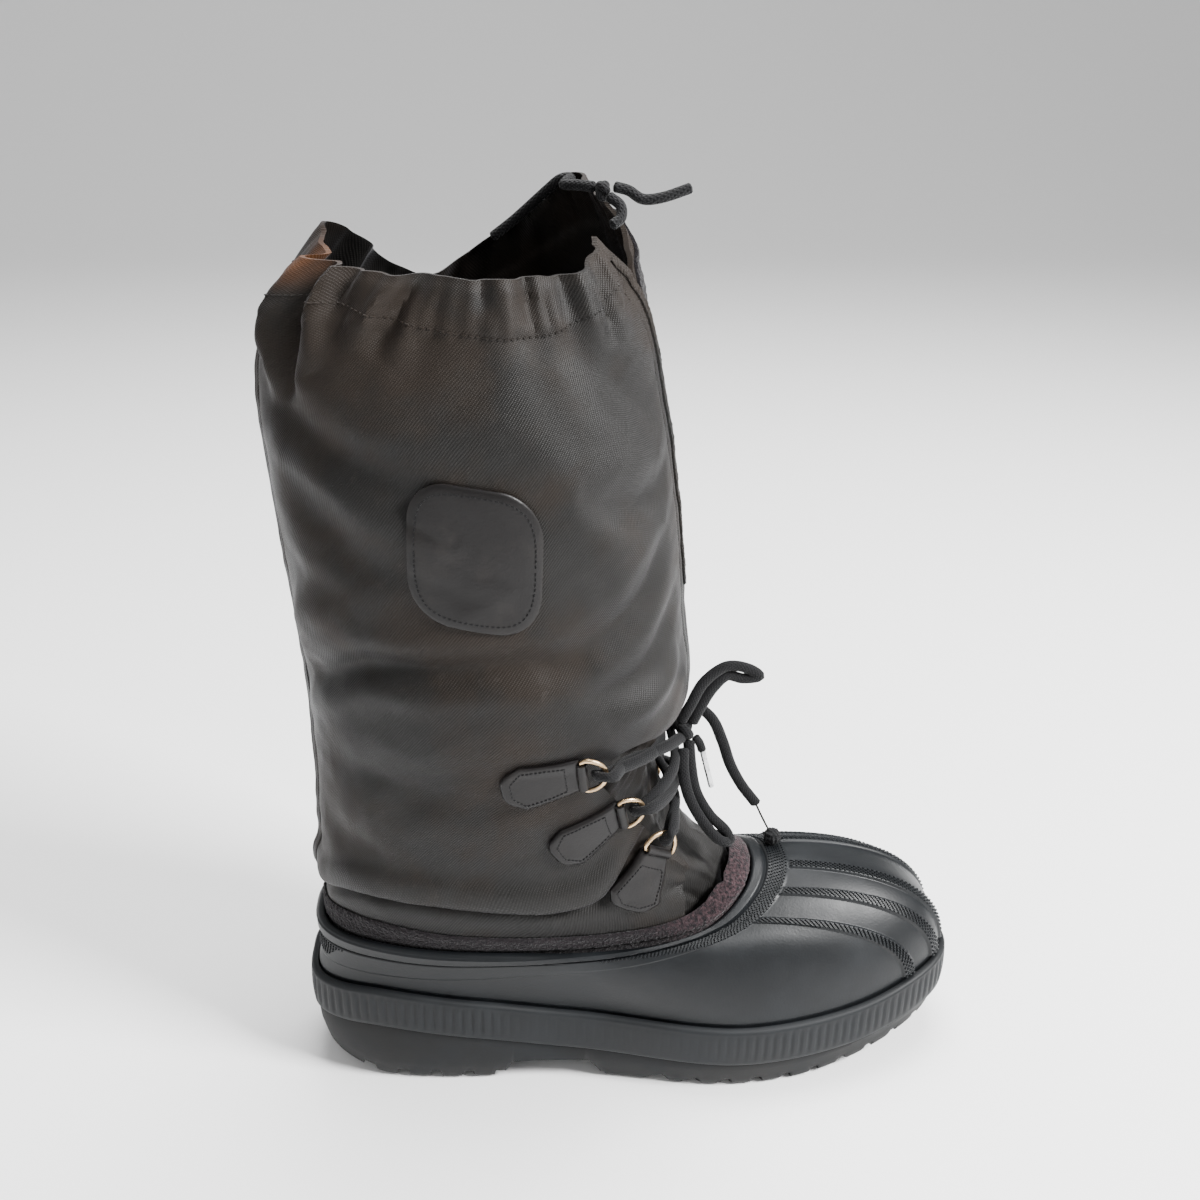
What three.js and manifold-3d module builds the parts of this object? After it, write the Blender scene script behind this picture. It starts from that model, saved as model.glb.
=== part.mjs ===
// A right-foot pac boot, standing empty on its sole: a moulded rubber foot shell with a ribbed
// toe cap and a lugged sole, and a tall slack nylon shaft with a drawcord hem, a lapped front
// closure and three pairs of leather tabs with D-rings at the ankle.
// Millimetres. +X points to the toe, +Y to the inner (medial) side, +Z up.
// The origin is the centre of the heel's flat ground contact.
// Everywhere "turn" is an angle round the boot in degrees, seen from above: 0 at the front,
// 90 at the outer side (-Y), 180 at the heel and 270 at the inner side (+Y).

import * as THREE from "three";
import { mergeVertices } from "three/addons/utils/BufferGeometryUtils.js";
import Module from "manifold-3d";

const wasm = await Module();
wasm.setup();

// Driving dimensions
const SOLE_LENGTH = 312;
const HEEL_BACK = -46; // x of the back of the sole
const TOE_TIP = HEEL_BACK + SOLE_LENGTH;
const GAP = 0.3; // air kept between pieces that touch
const RUBBER = 3; // wall of the rubber shell
const NYLON = 2; // wall of the padded nylon shaft
const FOXING_THICK = 3; // ribbed band round the foot of the shell
const FOXING_HIGH = 20;
const FOXING_RIB = 0.9; // depth of its upright ribs
const FOXING_PLAIN = { from: 42, to: 160 }; // the waist, where they are worn away
const SHELL_SEAT = 12; // the shell's lower edge stands this far below the foxing's top
const INSOLE_THICK = 4;
const PILE_THICK = 1.3; // fleece band between the rubber collar and the nylon

// The sole's plan: half widths on each side of the long axis before its ends are rounded
const PLAN = [
  { x: -46, outer: 45, inner: 43 },
  { x: 15, outer: 45, inner: 43 },
  { x: 78, outer: 45, inner: 39 },
  { x: 150, outer: 58, inner: 53 },
  { x: 210, outer: 54, inner: 57 },
  { x: 266, outer: 44, inner: 56 },
];
const PLAN_POWER = 3.3; // roundness of the heel and the toe, 2 being an ellipse

// Heights along the sole: where the tread lies and where the foxing ends
const HEIGHTS = [
  { x: -46, tread: 13, foxingTop: 53 },
  { x: -26, tread: 4.5, foxingTop: 54 },
  { x: -10, tread: 0, foxingTop: 54 },
  { x: 35, tread: 0, foxingTop: 48 },
  { x: 75, tread: 0, foxingTop: 41.5 },
  { x: 144, tread: 0, foxingTop: 37 },
  { x: 186, tread: 0, foxingTop: 37 },
  { x: 214, tread: 4, foxingTop: 39 },
  { x: 244, tread: 11, foxingTop: 44.5 },
  { x: 266, tread: 17, foxingTop: 49 },
];

// The rubber collar, seen from above, the height of its edge round the boot, and how far the
// fleece band shows above it
const COLLAR = { back: -41, front: 166, outer: 46, inner: 44, power: 2.6 };
const COLLAR_EDGE = [
  { turn: 0, z: 96, fleece: 7 },
  { turn: 24, z: 89, fleece: 7 },
  { turn: 48, z: 79, fleece: 6 },
  { turn: 80, z: 76, fleece: 8 },
  { turn: 105, z: 77.5, fleece: 10 },
  { turn: 135, z: 80, fleece: 13 },
  { turn: 180, z: 80, fleece: 12 },
  { turn: 225, z: 80, fleece: 13 },
  { turn: 255, z: 77.5, fleece: 10 },
  { turn: 280, z: 76, fleece: 8 },
  { turn: 312, z: 79, fleece: 6 },
  { turn: 336, z: 89, fleece: 7 },
];
const BEAD = 1.5; // how far the rolled rim of the rubber collar stands out
const TOE_POWER = 2.2; // fullness of the toe cap's profile

// Ribs on the toe cap, fanned from the collar to the foxing and widening on the way
const TOE_RIB = { foot: 7, head: 4, high: 1.2, turns: [-49, -28, -8.5, 8.5, 28, 49] };

// The shaft's sections from the rubber collar (up 0) to the rim (up 1)
const SHAFT = [
  { up: -0.04, back: -34.5, front: 158, outer: 38, inner: 36, power: 2.5 },
  { up: 0.0, back: -35.5, front: 160, outer: 40, inner: 38, power: 2.55 },
  { up: 0.03, back: -36.5, front: 153, outer: 43, inner: 41, power: 2.45 },
  { up: 0.07, back: -37, front: 139, outer: 47, inner: 45, power: 2.4 },
  { up: 0.13, back: -36.5, front: 128, outer: 49.5, inner: 47.5, power: 2.3 },
  { up: 0.21, back: -35.5, front: 122, outer: 52, inner: 50, power: 2.2 },
  { up: 0.3, back: -35, front: 128, outer: 55, inner: 53, power: 2.15 },
  { up: 0.43, back: -36, front: 129.5, outer: 58, inner: 56, power: 2.1 },
  { up: 0.67, back: -41.5, front: 123, outer: 60, inner: 58, power: 2.1 },
  { up: 0.84, back: -43.5, front: 113.5, outer: 58, inner: 56, power: 2.1 },
  { up: 0.92, back: -37, front: 107, outer: 54, inner: 52, power: 2.1 },
  { up: 1.0, back: -18, front: 94.5, outer: 49, inner: 46, power: 2.1 },
];
const RIM_EDGE = [
  { turn: 0, z: 396 },
  { turn: 16, z: 390 },
  { turn: 40, z: 377 },
  { turn: 75, z: 375 },
  { turn: 115, z: 377 },
  { turn: 155, z: 378 },
  { turn: 180, z: 380 },
  { turn: 204, z: 388 },
  { turn: 232, z: 373 },
  { turn: 255, z: 365 },
  { turn: 285, z: 384 },
  { turn: 303, z: 397 },
  { turn: 319, z: 406 },
  { turn: 341, z: 402 },
];

// The shaft's front edges: the outer flap laps over the inner one, and both open in a V at the top
const FLAPS = [
  { up: -0.04, outerFlap: 9, innerFlap: 386 },
  { up: 0.78, outerFlap: 9, innerFlap: 386 },
  { up: 0.9, outerFlap: 12, innerFlap: 371 },
  { up: 1.0, outerFlap: 22, innerFlap: 356 },
];
const LAP = { from: 334, to: 364, deep: NYLON + 0.7 }; // where the inner flap sinks under the outer
const HEM = { up: 0.905, proud: 0.7 }; // drawcord casing, a doubled layer at the rim
const GATHERS = { count: 9, high: 2.2, fromUp: 0.8 };

// Main folds of the slack ankle, each along a line on the shaft: a depth under 0 is a roll that
// stands out, one over 0 a crease
const FOLDS = [
  { fromTurn: 168, fromUp: 0.085, toTurn: 72, toUp: 0.09, wide: 0.022, deep: 2.6 },
  { fromTurn: 165, fromUp: 0.3, toTurn: 14, toUp: 0.36, wide: 0.04, deep: -3 },
  { fromTurn: 165, fromUp: 0.43, toTurn: 84, toUp: 0.47, wide: 0.035, deep: 2 },
  { fromTurn: 192, fromUp: 0.09, toTurn: 288, toUp: 0.09, wide: 0.022, deep: 2.6 },
  { fromTurn: 195, fromUp: 0.3, toTurn: 330, toUp: 0.36, wide: 0.04, deep: -2.6 },
];

// The window in front of the ankle, seen from the side, that the laces close
const THROAT = { lowX: 130, lowZ: 110, midX: 117, midZ: 124, highX: 88, highZ: 168, topZ: 182 };

const TONGUE = { reach: 72, fromUp: -0.03, toUp: 0.37, thick: 2, fromSunk: 5.9, toSunk: 7.2 };

// Leather tabs with D-rings at the ankle, one row for each on the outer side
const TABS = [
  { name: "top", turn: 79, up: 0.325, lean: 10 },
  { name: "middle", turn: 62, up: 0.216, lean: 24 },
  { name: "low", turn: 48, up: 0.1, lean: 36 },
];
const TAB = { long: 33, wide: 22, narrow: 17, point: 8, thick: 2.8, eyeOuter: 2.5, eyeHole: 1.5 };
const RING = { wire: 1, bar: 17, leg: 1.5, tilt: 16, sides: 5 };

const LACE_WIDE = 4.6;
const CORD_WIDE = 4.2;
const KNOT = { x: 131, y: -6, z: 167.5, across: 12, high: 9 };

// Free cords of the bow and of the drawcord, each a route of points
const FREE_CORDS = [
  {
    name: "lace_loop_upper",
    wide: LACE_WIDE,
    route: [
      [129.1, -6.5, 173],
      [133, -8, 182],
      [138.5, -8, 193],
      [148, -8, 200.5],
      [157.5, -8, 199.5],
      [163.5, -8, 195],
      [157, -8, 190.2],
      [150.5, -8, 190.4],
      [143.5, -8, 185.5],
      [138.8, -8, 178],
      [135.2, -6.5, 171.2],
    ],
  },
  {
    name: "lace_loop_lower",
    wide: LACE_WIDE,
    route: [
      [132.6, -9, 163.2],
      [133.5, -12, 152],
      [136, -14, 140],
      [142, -17, 129.5],
      [149.5, -19, 121.5],
      [151, -22.5, 117.5],
      [145.5, -24, 120],
      [138, -21.5, 130],
      [131.5, -19, 142],
      [129, -16.5, 153],
      [128.6, -13.5, 161.7],
    ],
  },
  {
    name: "lace_end_long",
    wide: LACE_WIDE,
    route: [
      [133.2, -0.4, 170.6],
      [138, 4, 173.8],
      [144, 3, 166],
      [152, 3, 150.5],
      [160, 3, 136],
      [168.5, 3, 121.5],
    ],
  },
  {
    name: "lace_thread",
    wide: 1.4,
    route: [
      [168.7, 3, 121],
      [172, 4, 113.5],
      [176.4, 4.7, 104.5],
    ],
  },
  {
    name: "lace_end_short",
    wide: 4,
    route: [
      [136, -6.5, 164.2],
      [138, -7.5, 161.5],
      [139, -8.5, 158.5],
    ],
  },
  {
    name: "drawcord_lead",
    wide: CORD_WIDE,
    route: [
      [78, 17, 401.5],
      [83, 11, 402.6],
      [88.5, 4.4, 402.4],
    ],
  },
  {
    name: "drawcord_loop",
    wide: CORD_WIDE,
    route: [
      [94.3, -2.3, 399.2],
      [98.3, -4.6, 396.2],
      [98.3, -7, 392],
      [95, -9, 389.6],
    ],
  },
  {
    name: "drawcord_tail",
    wide: CORD_WIDE,
    route: [
      [97, 2.2, 402.5],
      [102.1, 1.5, 401.2],
      [107.5, 0, 398.2],
      [115.3, -1, 399],
      [125.5, -1, 402.3],
    ],
  },
];
const LACE_BALL = { x: 178.4, y: 5, z: 100.6, across: 8 };
const CORD_KNOT = { x: 92, y: 1.5, z: 401.4, across: 8 };
const AGLET = { wide: 2.6, from: [139.2, -8.7, 158.1], to: [143.5, -11.5, 141] };

const BADGE = { turn: 91, up: 0.66, lean: -9, wide: 54, high: 58, corner: 18, thick: 2 };
const BACK_STAY = { halfTurn: 3.4, fromUp: 0.06, toUp: 0.91, thick: 1.6 };

// The tread: cross channels between the lugs, and the arch between heel and forefoot
const LUG = { pitch: 15, groove: 3.6, deep: 4.5, skew: 14 };
const LUGGED = [
  { from: -27, to: 33 },
  { from: 106, to: 256 },
];
const ARCH = { from: 43, to: 90, high: 12, slope: 5 };

const MATERIALS = {
  rubber: { color: 0x24272a, roughness: 0.5, metalness: 0 },
  sole: { color: 0x1f2020, roughness: 0.75, metalness: 0 },
  nylon: { color: 0x3a3733, roughness: 0.6, metalness: 0 },
  fleece: { color: 0x2a2528, roughness: 1, metalness: 0 },
  leather: { color: 0x26221f, roughness: 0.45, metalness: 0 },
  brass: { color: 0xb9a68a, roughness: 0.3, metalness: 1 },
  lace: { color: 0x111214, roughness: 0.85, metalness: 0 },
  tip: { color: 0xa8aaac, roughness: 0.25, metalness: 1 },
  felt: { color: 0x5b5a56, roughness: 1, metalness: 0 },
};

const radians = THREE.MathUtils.degToRad;
const { lerp, smoothstep, clamp } = THREE.MathUtils;

// Reads one column of a table at a station, on a smooth curve through its rows
function read(table, key, column, at) {
  const rows = table.length;
  let i = 0;
  while (i < rows - 2 && at > table[i + 1][key]) i += 1;
  const slope = (a, b) => (table[b][column] - table[a][column]) / (table[b][key] - table[a][key]);
  const span = table[i + 1][key] - table[i][key];
  const before = i > 0 ? slope(i - 1, i + 1) : slope(i, i + 1);
  const after = i < rows - 2 ? slope(i, i + 2) : slope(i, i + 1);
  const t = clamp((at - table[i][key]) / span, 0, 1);
  const [t2, t3] = [t * t, t * t * t];
  return (
    (2 * t3 - 3 * t2 + 1) * table[i][column] +
    (t3 - 2 * t2 + t) * span * before +
    (3 * t2 - 2 * t3) * table[i + 1][column] +
    (t3 - t2) * span * after
  );
}

// The same for a table that goes once round the boot
function readRound(table, column, turn) {
  const wrap = (rows, shift) => rows.map((row) => ({ ...row, turn: row.turn + shift }));
  const round = [...wrap(table.slice(-2), -360), ...table, ...wrap(table.slice(0, 2), 360)];
  return read(round, "turn", column, ((turn % 360) + 360) % 360);
}

// A point of a superellipse: how far along the axis and how far aside, each from -1 to 1
function rounded(turn, power) {
  const c = Math.cos(radians(turn));
  const s = Math.sin(radians(turn));
  const grow = (v) => Math.sign(v) * Math.abs(v) ** (2 / power);
  return { along: grow(c), aside: grow(s) };
}

// A plan curve moved inwards by `inset`, square to itself
function insetCurve(curve, turn, inset) {
  const [here, before, after] = [curve(turn), curve(turn - 0.5), curve(turn + 0.5)];
  const run = after.clone().sub(before).normalize();
  return new THREE.Vector2(here.x + run.y * inset, here.y - run.x * inset);
}

const footPlan = (turn) => {
  const { along, aside } = rounded(turn, PLAN_POWER);
  const x = (HEEL_BACK + TOE_TIP) / 2 + (SOLE_LENGTH / 2) * along;
  return new THREE.Vector2(x, -aside * read(PLAN, "x", aside > 0 ? "outer" : "inner", x));
};

const ovalPlan = (oval) => (turn) => {
  const { along, aside } = rounded(turn, oval.power);
  const middle = lerp(oval.back, oval.front, 0.5);
  const x = middle + (along * (oval.front - oval.back)) / 2;
  return new THREE.Vector2(x, -aside * (aside > 0 ? oval.outer : oval.inner));
};

// Turns that cut a plan curve into equal lengths, the same on both sides
function evenTurns(curve, count) {
  const fine = 1440;
  const turns = [0];
  const lengths = [0];
  for (let i = 1; i <= fine; i += 1) {
    const [a, b] = [((i - 1) * 180) / fine, (i * 180) / fine];
    turns.push(b);
    lengths.push(lengths[i - 1] + curve(a).distanceTo(curve(b)));
  }
  const half = [];
  for (let k = 0; k <= count / 2; k += 1) {
    const wanted = (lengths[fine] * k) / (count / 2);
    half.push(turns[lengths.findIndex((length) => length >= wanted - 1e-9)]);
  }
  return [...half, ...half.slice(1, -1).reverse().map((turn) => 360 - turn)];
}

const STATIONS = evenTurns(footPlan, 60);

// The foot's plan as straight flats between the stations, so that every piece that stands on it
// keeps the same air from its neighbour
function footFlat(turn, inset) {
  const wrapped = ((turn % 360) + 360) % 360;
  const next = STATIONS.findIndex((station) => station > wrapped);
  const [from, to] = next < 0 ? [STATIONS.at(-1), 360] : [STATIONS[next - 1], STATIONS[next]];
  const [a, b] = [insetCurve(footPlan, from, inset), insetCurve(footPlan, to, inset)];
  return a.lerp(b, (wrapped - from) / (to - from));
}

const collarHeight = (turn) => readRound(COLLAR_EDGE, "z", turn);
const rimHeight = (turn) => readRound(RIM_EDGE, "z", turn);
const foxingTop = (x) => read(HEIGHTS, "x", "foxingTop", x);
const foxingFoot = (x) => foxingTop(x) - FOXING_HIGH;
const soleTop = (x) => foxingTop(x) - SHELL_SEAT;
const tread = (x) => Math.max(read(HEIGHTS, "x", "tread", x), 0);

// Geometry of a grid of points: quads between neighbours, `flip` turning them round
function gridFaces(push, grid, closed, flip) {
  for (let r = 0; r + 1 < grid.length; r += 1) {
    const columns = grid[r].length;
    for (let c = 0; c < (closed ? columns : columns - 1); c += 1) {
      const next = (c + 1) % columns;
      const quad = [grid[r][c], grid[r][next], grid[r + 1][next], grid[r + 1][c]];
      if (flip) quad.reverse();
      push(quad[0], quad[1], quad[2]);
      push(quad[0], quad[2], quad[3]);
    }
  }
}

// A closed body between an outer and an inner grid of points, open sheets being edged all round
function wall(outer, inner, closed) {
  const points = [];
  const push = (...corners) => corners.forEach((p) => points.push(p.x, p.y, p.z));
  const end = outer[0].length - 1;
  gridFaces(push, outer, closed, false);
  gridFaces(push, inner, closed, true);
  gridFaces(push, [inner[0], outer[0]], closed, false);
  gridFaces(push, [outer.at(-1), inner.at(-1)], closed, false);
  if (!closed) {
    gridFaces(push, [outer.map((row) => row[0]), inner.map((row) => row[0])], false, false);
    gridFaces(push, [inner.map((row) => row[end]), outer.map((row) => row[end])], false, false);
  }
  return facingOut(points);
}

// A body lofted through rings whose point i faces point -i across the long axis
function loft(rings) {
  const points = [];
  const push = (...corners) => corners.forEach((p) => points.push(p.x, p.y, p.z));
  const count = rings[0].length;
  gridFaces(push, rings, true, false);
  const ladder = (ring) => {
    const sides = [[], []];
    for (let i = 0; i <= count / 2; i += 1) {
      sides[0].push(ring[i]);
      sides[1].push(ring[(count - i) % count]);
    }
    return sides;
  };
  gridFaces(push, ladder(rings[0]), false, true);
  gridFaces(push, ladder(rings[rings.length - 1]), false, false);
  return facingOut(points);
}

// A geometry from loose triangles, merged, without flat ones, and turned so its faces point out
function facingOut(points) {
  const loose = new THREE.BufferGeometry();
  loose.setAttribute("position", new THREE.Float32BufferAttribute(points, 3));
  const merged = mergeVertices(loose, 1e-3);
  const source = merged.index.array;
  const index = [];
  for (let i = 0; i < source.length; i += 3) {
    const [a, b, c] = [source[i], source[i + 1], source[i + 2]];
    if (a !== b && b !== c && c !== a) index.push(a, b, c);
  }
  merged.setIndex(index);
  return volumeOf(merged) < 0 ? turnedOver(merged) : merged;
}

function volumeOf(geometry) {
  const [a, b, c] = [new THREE.Vector3(), new THREE.Vector3(), new THREE.Vector3()];
  const position = geometry.getAttribute("position");
  let sum = 0;
  for (let i = 0; i < geometry.index.count; i += 3) {
    [a, b, c].forEach((p, k) => p.fromBufferAttribute(position, geometry.index.getX(i + k)));
    sum += a.dot(b.cross(c)) / 6;
  }
  return sum;
}

function turnedOver(geometry) {
  const index = geometry.index.array;
  for (let i = 0; i < index.length; i += 3) [index[i], index[i + 1]] = [index[i + 1], index[i]];
  return geometry;
}

function solid(geometry) {
  const bare = new THREE.BufferGeometry();
  const flat = geometry.index ? geometry.toNonIndexed() : geometry;
  bare.setAttribute("position", flat.getAttribute("position").clone());
  const merged = mergeVertices(bare, 1e-3);
  return new wasm.Manifold(
    new wasm.Mesh({
      numProp: 3,
      vertProperties: new Float32Array(merged.getAttribute("position").array),
      triVerts: new Uint32Array(merged.index.array),
    }),
  );
}

function geometryOf(manifold) {
  const made = manifold.getMesh();
  const geometry = new THREE.BufferGeometry();
  geometry.setAttribute("position", new THREE.BufferAttribute(made.vertProperties, 3));
  geometry.setIndex(new THREE.BufferAttribute(made.triVerts, 1));
  return geometry;
}

const join = (geometries) => geometryOf(geometries.map(solid).reduce((a, b) => a.add(b)));

function cut(geometry, cutters) {
  return geometryOf(cutters.map(solid).reduce((a, b) => a.subtract(b), solid(geometry)));
}

const boot = new THREE.Group();

function addPiece(name, geometry, material) {
  geometry.computeVertexNormals();
  const mesh = new THREE.Mesh(geometry, new THREE.MeshStandardMaterial(MATERIALS[material]));
  mesh.name = name;
  boot.add(mesh);
}

const steps = (count) => Array.from({ length: count }, (_, i) => i / count);
const stepsTo = (count) => Array.from({ length: count + 1 }, (_, i) => i / count);

// A ring of the foot's plan at a height that follows x
const footRing = (turns, inset, height) =>
  turns.map((turn) => {
    const p = footFlat(turn, inset);
    return new THREE.Vector3(p.x, p.y, height(p.x));
  });

// Outsole: rings from the tread up to the seat of the shell, with a ledge that carries the foxing
function outsole() {
  const ledge = FOXING_THICK + GAP;
  const levels = [
    { inset: 8, height: (x) => tread(x) },
    { inset: 3.5, height: (x) => tread(x) + 6 },
    { inset: 1, height: (x) => foxingFoot(x) - GAP },
    { inset: ledge, height: (x) => foxingFoot(x) - GAP },
    { inset: ledge, height: (x) => soleTop(x) },
  ];
  const body = loft(levels.map(({ inset, height }) => footRing(STATIONS, inset, height)));
  return cut(body, [archCutter(), ...channels()]);
}

// The hollow under the arch: a low trapezium with rounded corners, run right across the sole
function archCutter() {
  const { from, to, high, slope } = ARCH;
  const side = new THREE.Shape();
  side.moveTo(from, -1);
  side.lineTo(from + slope * 0.6, high * 0.7);
  side.quadraticCurveTo(from + slope, high, from + slope * 2, high);
  side.lineTo(to - slope * 2, high);
  side.quadraticCurveTo(to - slope * 0.4, high * 0.85, to, high * 0.45);
  side.lineTo(to + slope * 1.6, -1);
  side.closePath();
  const block = new THREE.ExtrudeGeometry(side, { depth: 160, bevelEnabled: false, curveSegments: 4 });
  block.rotateX(Math.PI / 2);
  block.translate(0, 80, 0);
  return block;
}

// Cross channels between the lugs, each a shallow chevron of two bars that meets the sole's side
function channels() {
  const { pitch, groove, deep, skew } = LUG;
  const bars = [];
  const reach = 75;
  for (const { from, to } of LUGGED) {
    for (let x = from; x <= to; x += pitch) {
      for (const side of [-1, 1]) {
        const bar = new THREE.BoxGeometry(groove, reach, deep * 2);
        bar.translate(0, (side * reach) / 2 - side * 0.5, 0);
        bar.rotateZ(side * radians(-skew));
        bar.rotateY(-Math.atan2(tread(x + 4) - tread(x - 4), 8));
        bar.translate(x, 0, tread(x));
        bars.push(bar);
      }
    }
  }
  return bars;
}

// Foxing: a band round the foot of the shell, with upright ribs round the heel and the toe
function foxing() {
  const section = [
    { up: 0, proud: 0, ribbed: 0.3 },
    { up: 0.8, proud: 0.6, ribbed: 1 },
    { up: 1, proud: -0.9, ribbed: 0 },
  ];
  const columns = [];
  STATIONS.forEach((turn, i) => {
    const next = i + 1 < STATIONS.length ? STATIONS[i + 1] : 360;
    const x = footPlan(turn).x;
    const ribs = x > FOXING_PLAIN.from && x < FOXING_PLAIN.to ? 1 : 4;
    steps(ribs).forEach((s, k) => columns.push({ turn: lerp(turn, next, s), rib: k % 2 }));
  });
  const outer = section.map(({ up, proud, ribbed }) =>
    columns.map(({ turn, rib }) => {
      const p = footFlat(turn, -proud + FOXING_RIB * ribbed * (1 - rib));
      return new THREE.Vector3(p.x, p.y, foxingFoot(p.x) + up * FOXING_HIGH);
    }),
  );
  const turns = columns.map(({ turn }) => turn);
  const inner = [foxingFoot, foxingTop].map((height) => footRing(turns, FOXING_THICK, height));
  return wall(outer, inner, true);
}

// The shell's outer skin. share 0 is the foxing's top and 1 the collar's edge: at the toe it is a
// quarter of a superellipse rising and turning back over the foot, at the sides a leaning wall.
function shellPoint(turn, share) {
  const base = footFlat(turn, FOXING_THICK + GAP);
  const low = foxingTop(base.x);
  const collar = ovalPlan(COLLAR)(turn);
  const quarter = rounded(share * 90, TOE_POWER);
  const toe = smoothstep(Math.cos(radians(turn)), 0.05, 0.75);
  const pinch = 1.6 * Math.sin(Math.PI * share) * smoothstep(-Math.cos(radians(turn)), 0.3, 1);
  const inward = lerp(share ** 1.35, 1 - quarter.along, toe);
  const upward = lerp(share, quarter.aside, toe);
  const p = base.clone().lerp(collar, inward);
  return new THREE.Vector3(p.x + pinch, p.y, lerp(low, collarHeight(turn), upward));
}

// Outward direction of a surface function at (turn, share)
function outward(surface, turn, share) {
  const [dt, ds] = [0.5, 0.004];
  const aside = surface(turn + dt, share).sub(surface(turn - dt, share));
  const upward = surface(turn, Math.min(share + ds, 1)).sub(surface(turn, Math.max(share - ds, 0)));
  return upward.cross(aside).normalize();
}

// Where the grid lines of the shell run: even round the boot, with four lines to each toe rib
function shellTurns(share) {
  const { foot, head, turns: ribs } = TOE_RIB;
  const width = lerp(foot, head, share);
  const plain = STATIONS.filter((turn) => turn > 60 && turn < 300);
  const lines = plain.map((turn) => ({ turn, rib: 0 }));
  for (const rib of ribs) {
    const middle = (rib + 360) % 360;
    const speed = shellPoint(middle + 1, share).distanceTo(shellPoint(middle - 1, share)) / 2;
    const half = Math.min(width / 2 / speed, 7);
    const edge = Math.min(1.2 / speed, half * 0.6);
    lines.push({ turn: middle - half, rib: 0 }, { turn: middle - half + edge, rib: 1 });
    lines.push({ turn: middle + half - edge, rib: 1 }, { turn: middle + half, rib: 0 });
  }
  return lines.sort((a, b) => a.turn - b.turn);
}

// Rubber shell: a wall that stands on the sole inside the foxing, with toe ribs and a rolled rim
function shell() {
  const rows = [
    { share: 0, rib: 0, bead: 0 },
    { share: 0.1, rib: 1, bead: 0 },
    { share: 0.3, rib: 1, bead: 0 },
    { share: 0.5, rib: 1, bead: 0 },
    { share: 0.7, rib: 1, bead: 0 },
    { share: 0.86, rib: 1, bead: 0 },
    { share: 0.9, rib: 0, bead: 0 },
    { share: 0.94, rib: 0, bead: 1 },
    { share: 1, rib: 0, bead: 0.8 },
  ];
  const skin = (share, turns, height) =>
    turns.map(({ turn, rib }) =>
      shellPoint(turn, share).addScaledVector(outward(shellPoint, turn, share), height(rib)),
    );
  const seat = (x) => soleTop(x) + GAP;
  const foot = (inset) => footRing(shellTurns(0).map(({ turn }) => turn), inset, seat);
  const outer = rows.map(({ share, rib: ribbed, bead }) =>
    skin(share, shellTurns(share), (rib) => rib * ribbed * TOE_RIB.high + bead * BEAD),
  );
  const inner = [0, 0.35, 0.7, 1].map((share) => skin(share, shellTurns(share), () => -RUBBER));
  const inset = FOXING_THICK + GAP;
  return wall([foot(inset), ...outer], [foot(inset + RUBBER), ...inner], true);
}

function insole() {
  const inset = FOXING_THICK + GAP + RUBBER + 1.6;
  const rings = [GAP, GAP + INSOLE_THICK].map((lift) =>
    footRing(STATIONS, inset, (x) => soleTop(x) + lift),
  );
  return loft(rings);
}

// How deep the folds press the shaft in at a point of it
function foldDepth(turn, up) {
  let depth = 0;
  for (const { fromTurn, fromUp, toTurn, toUp, wide, deep } of FOLDS) {
    const t = (turn - fromTurn) / (toTurn - fromTurn);
    if (t <= 0 || t >= 1) continue;
    const away = (up - lerp(fromUp, toUp, t)) / wide;
    depth += deep * Math.sin(Math.PI * t) ** 0.6 * Math.exp(-away * away);
  }
  return depth;
}

// The shaft's outer skin without its creases and gathers, `out` further out
function shaftSkin(turn, up, out = 0) {
  const column = (name) => read(SHAFT, "up", name, up);
  const oval = Object.fromEntries(
    ["back", "front", "outer", "inner", "power"].map((name) => [name, column(name)]),
  );
  const p = insetCurve(ovalPlan(oval), turn, -out);
  return new THREE.Vector3(p.x, p.y, lerp(collarHeight(turn), rimHeight(turn), up));
}

// How far the nylon stands off that skin: creases, gathers, hem and the lap of the front flaps
function shaftRelief(turn, up) {
  const gather = smoothstep(up, GATHERS.fromUp, 1) ** 1.5 * GATHERS.high;
  const wave = Math.cos(radians(turn * GATHERS.count)) * gather;
  const hem = up >= HEM.up ? HEM.proud : 0;
  const lap = smoothstep(turn, LAP.from, LAP.to) * LAP.deep;
  return wave + hem - lap - foldDepth(turn, up);
}

// A point that rests on the nylon, over its rolls and bridging its creases
const onNylon = (turn, up, height) =>
  shaftSkin(turn, up, height + Math.max(shaftRelief(turn, up), 0));

const SHAFT_UPS = [
  ...[-0.04, 0, 0.035, 0.075, 0.12, 0.17, 0.22, 0.27, 0.315, 0.36, 0.42],
  ...[0.55, 0.7, 0.84, HEM.up - 0.005, HEM.up, 1],
];

function shaft() {
  const layer = (thin) =>
    SHAFT_UPS.map((up) =>
      stepsTo(32).map((s) => {
        const turn = lerp(read(FLAPS, "up", "outerFlap", up), read(FLAPS, "up", "innerFlap", up), s);
        return shaftSkin(turn, up, shaftRelief(turn, up) - thin);
      }),
    );
  return cut(wall(layer(0), layer(NYLON), false), [throatCutter()]);
}

// The window before the ankle: everything ahead of a leaning line, up to the closure's lower edge
function throatCutter() {
  const { lowX, lowZ, midX, midZ, highX, highZ, topZ } = THROAT;
  const side = new THREE.Shape();
  side.moveTo(lowX, lowZ);
  side.lineTo(midX, midZ);
  side.lineTo(highX, highZ);
  side.quadraticCurveTo(highX + 2, topZ, highX + 18, topZ);
  side.lineTo(220, topZ);
  side.lineTo(220, lowZ);
  side.closePath();
  const block = new THREE.ExtrudeGeometry(side, { depth: 160, bevelEnabled: false, curveSegments: 5 });
  block.rotateX(Math.PI / 2);
  block.translate(0, 80, 0);
  return block;
}

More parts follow.
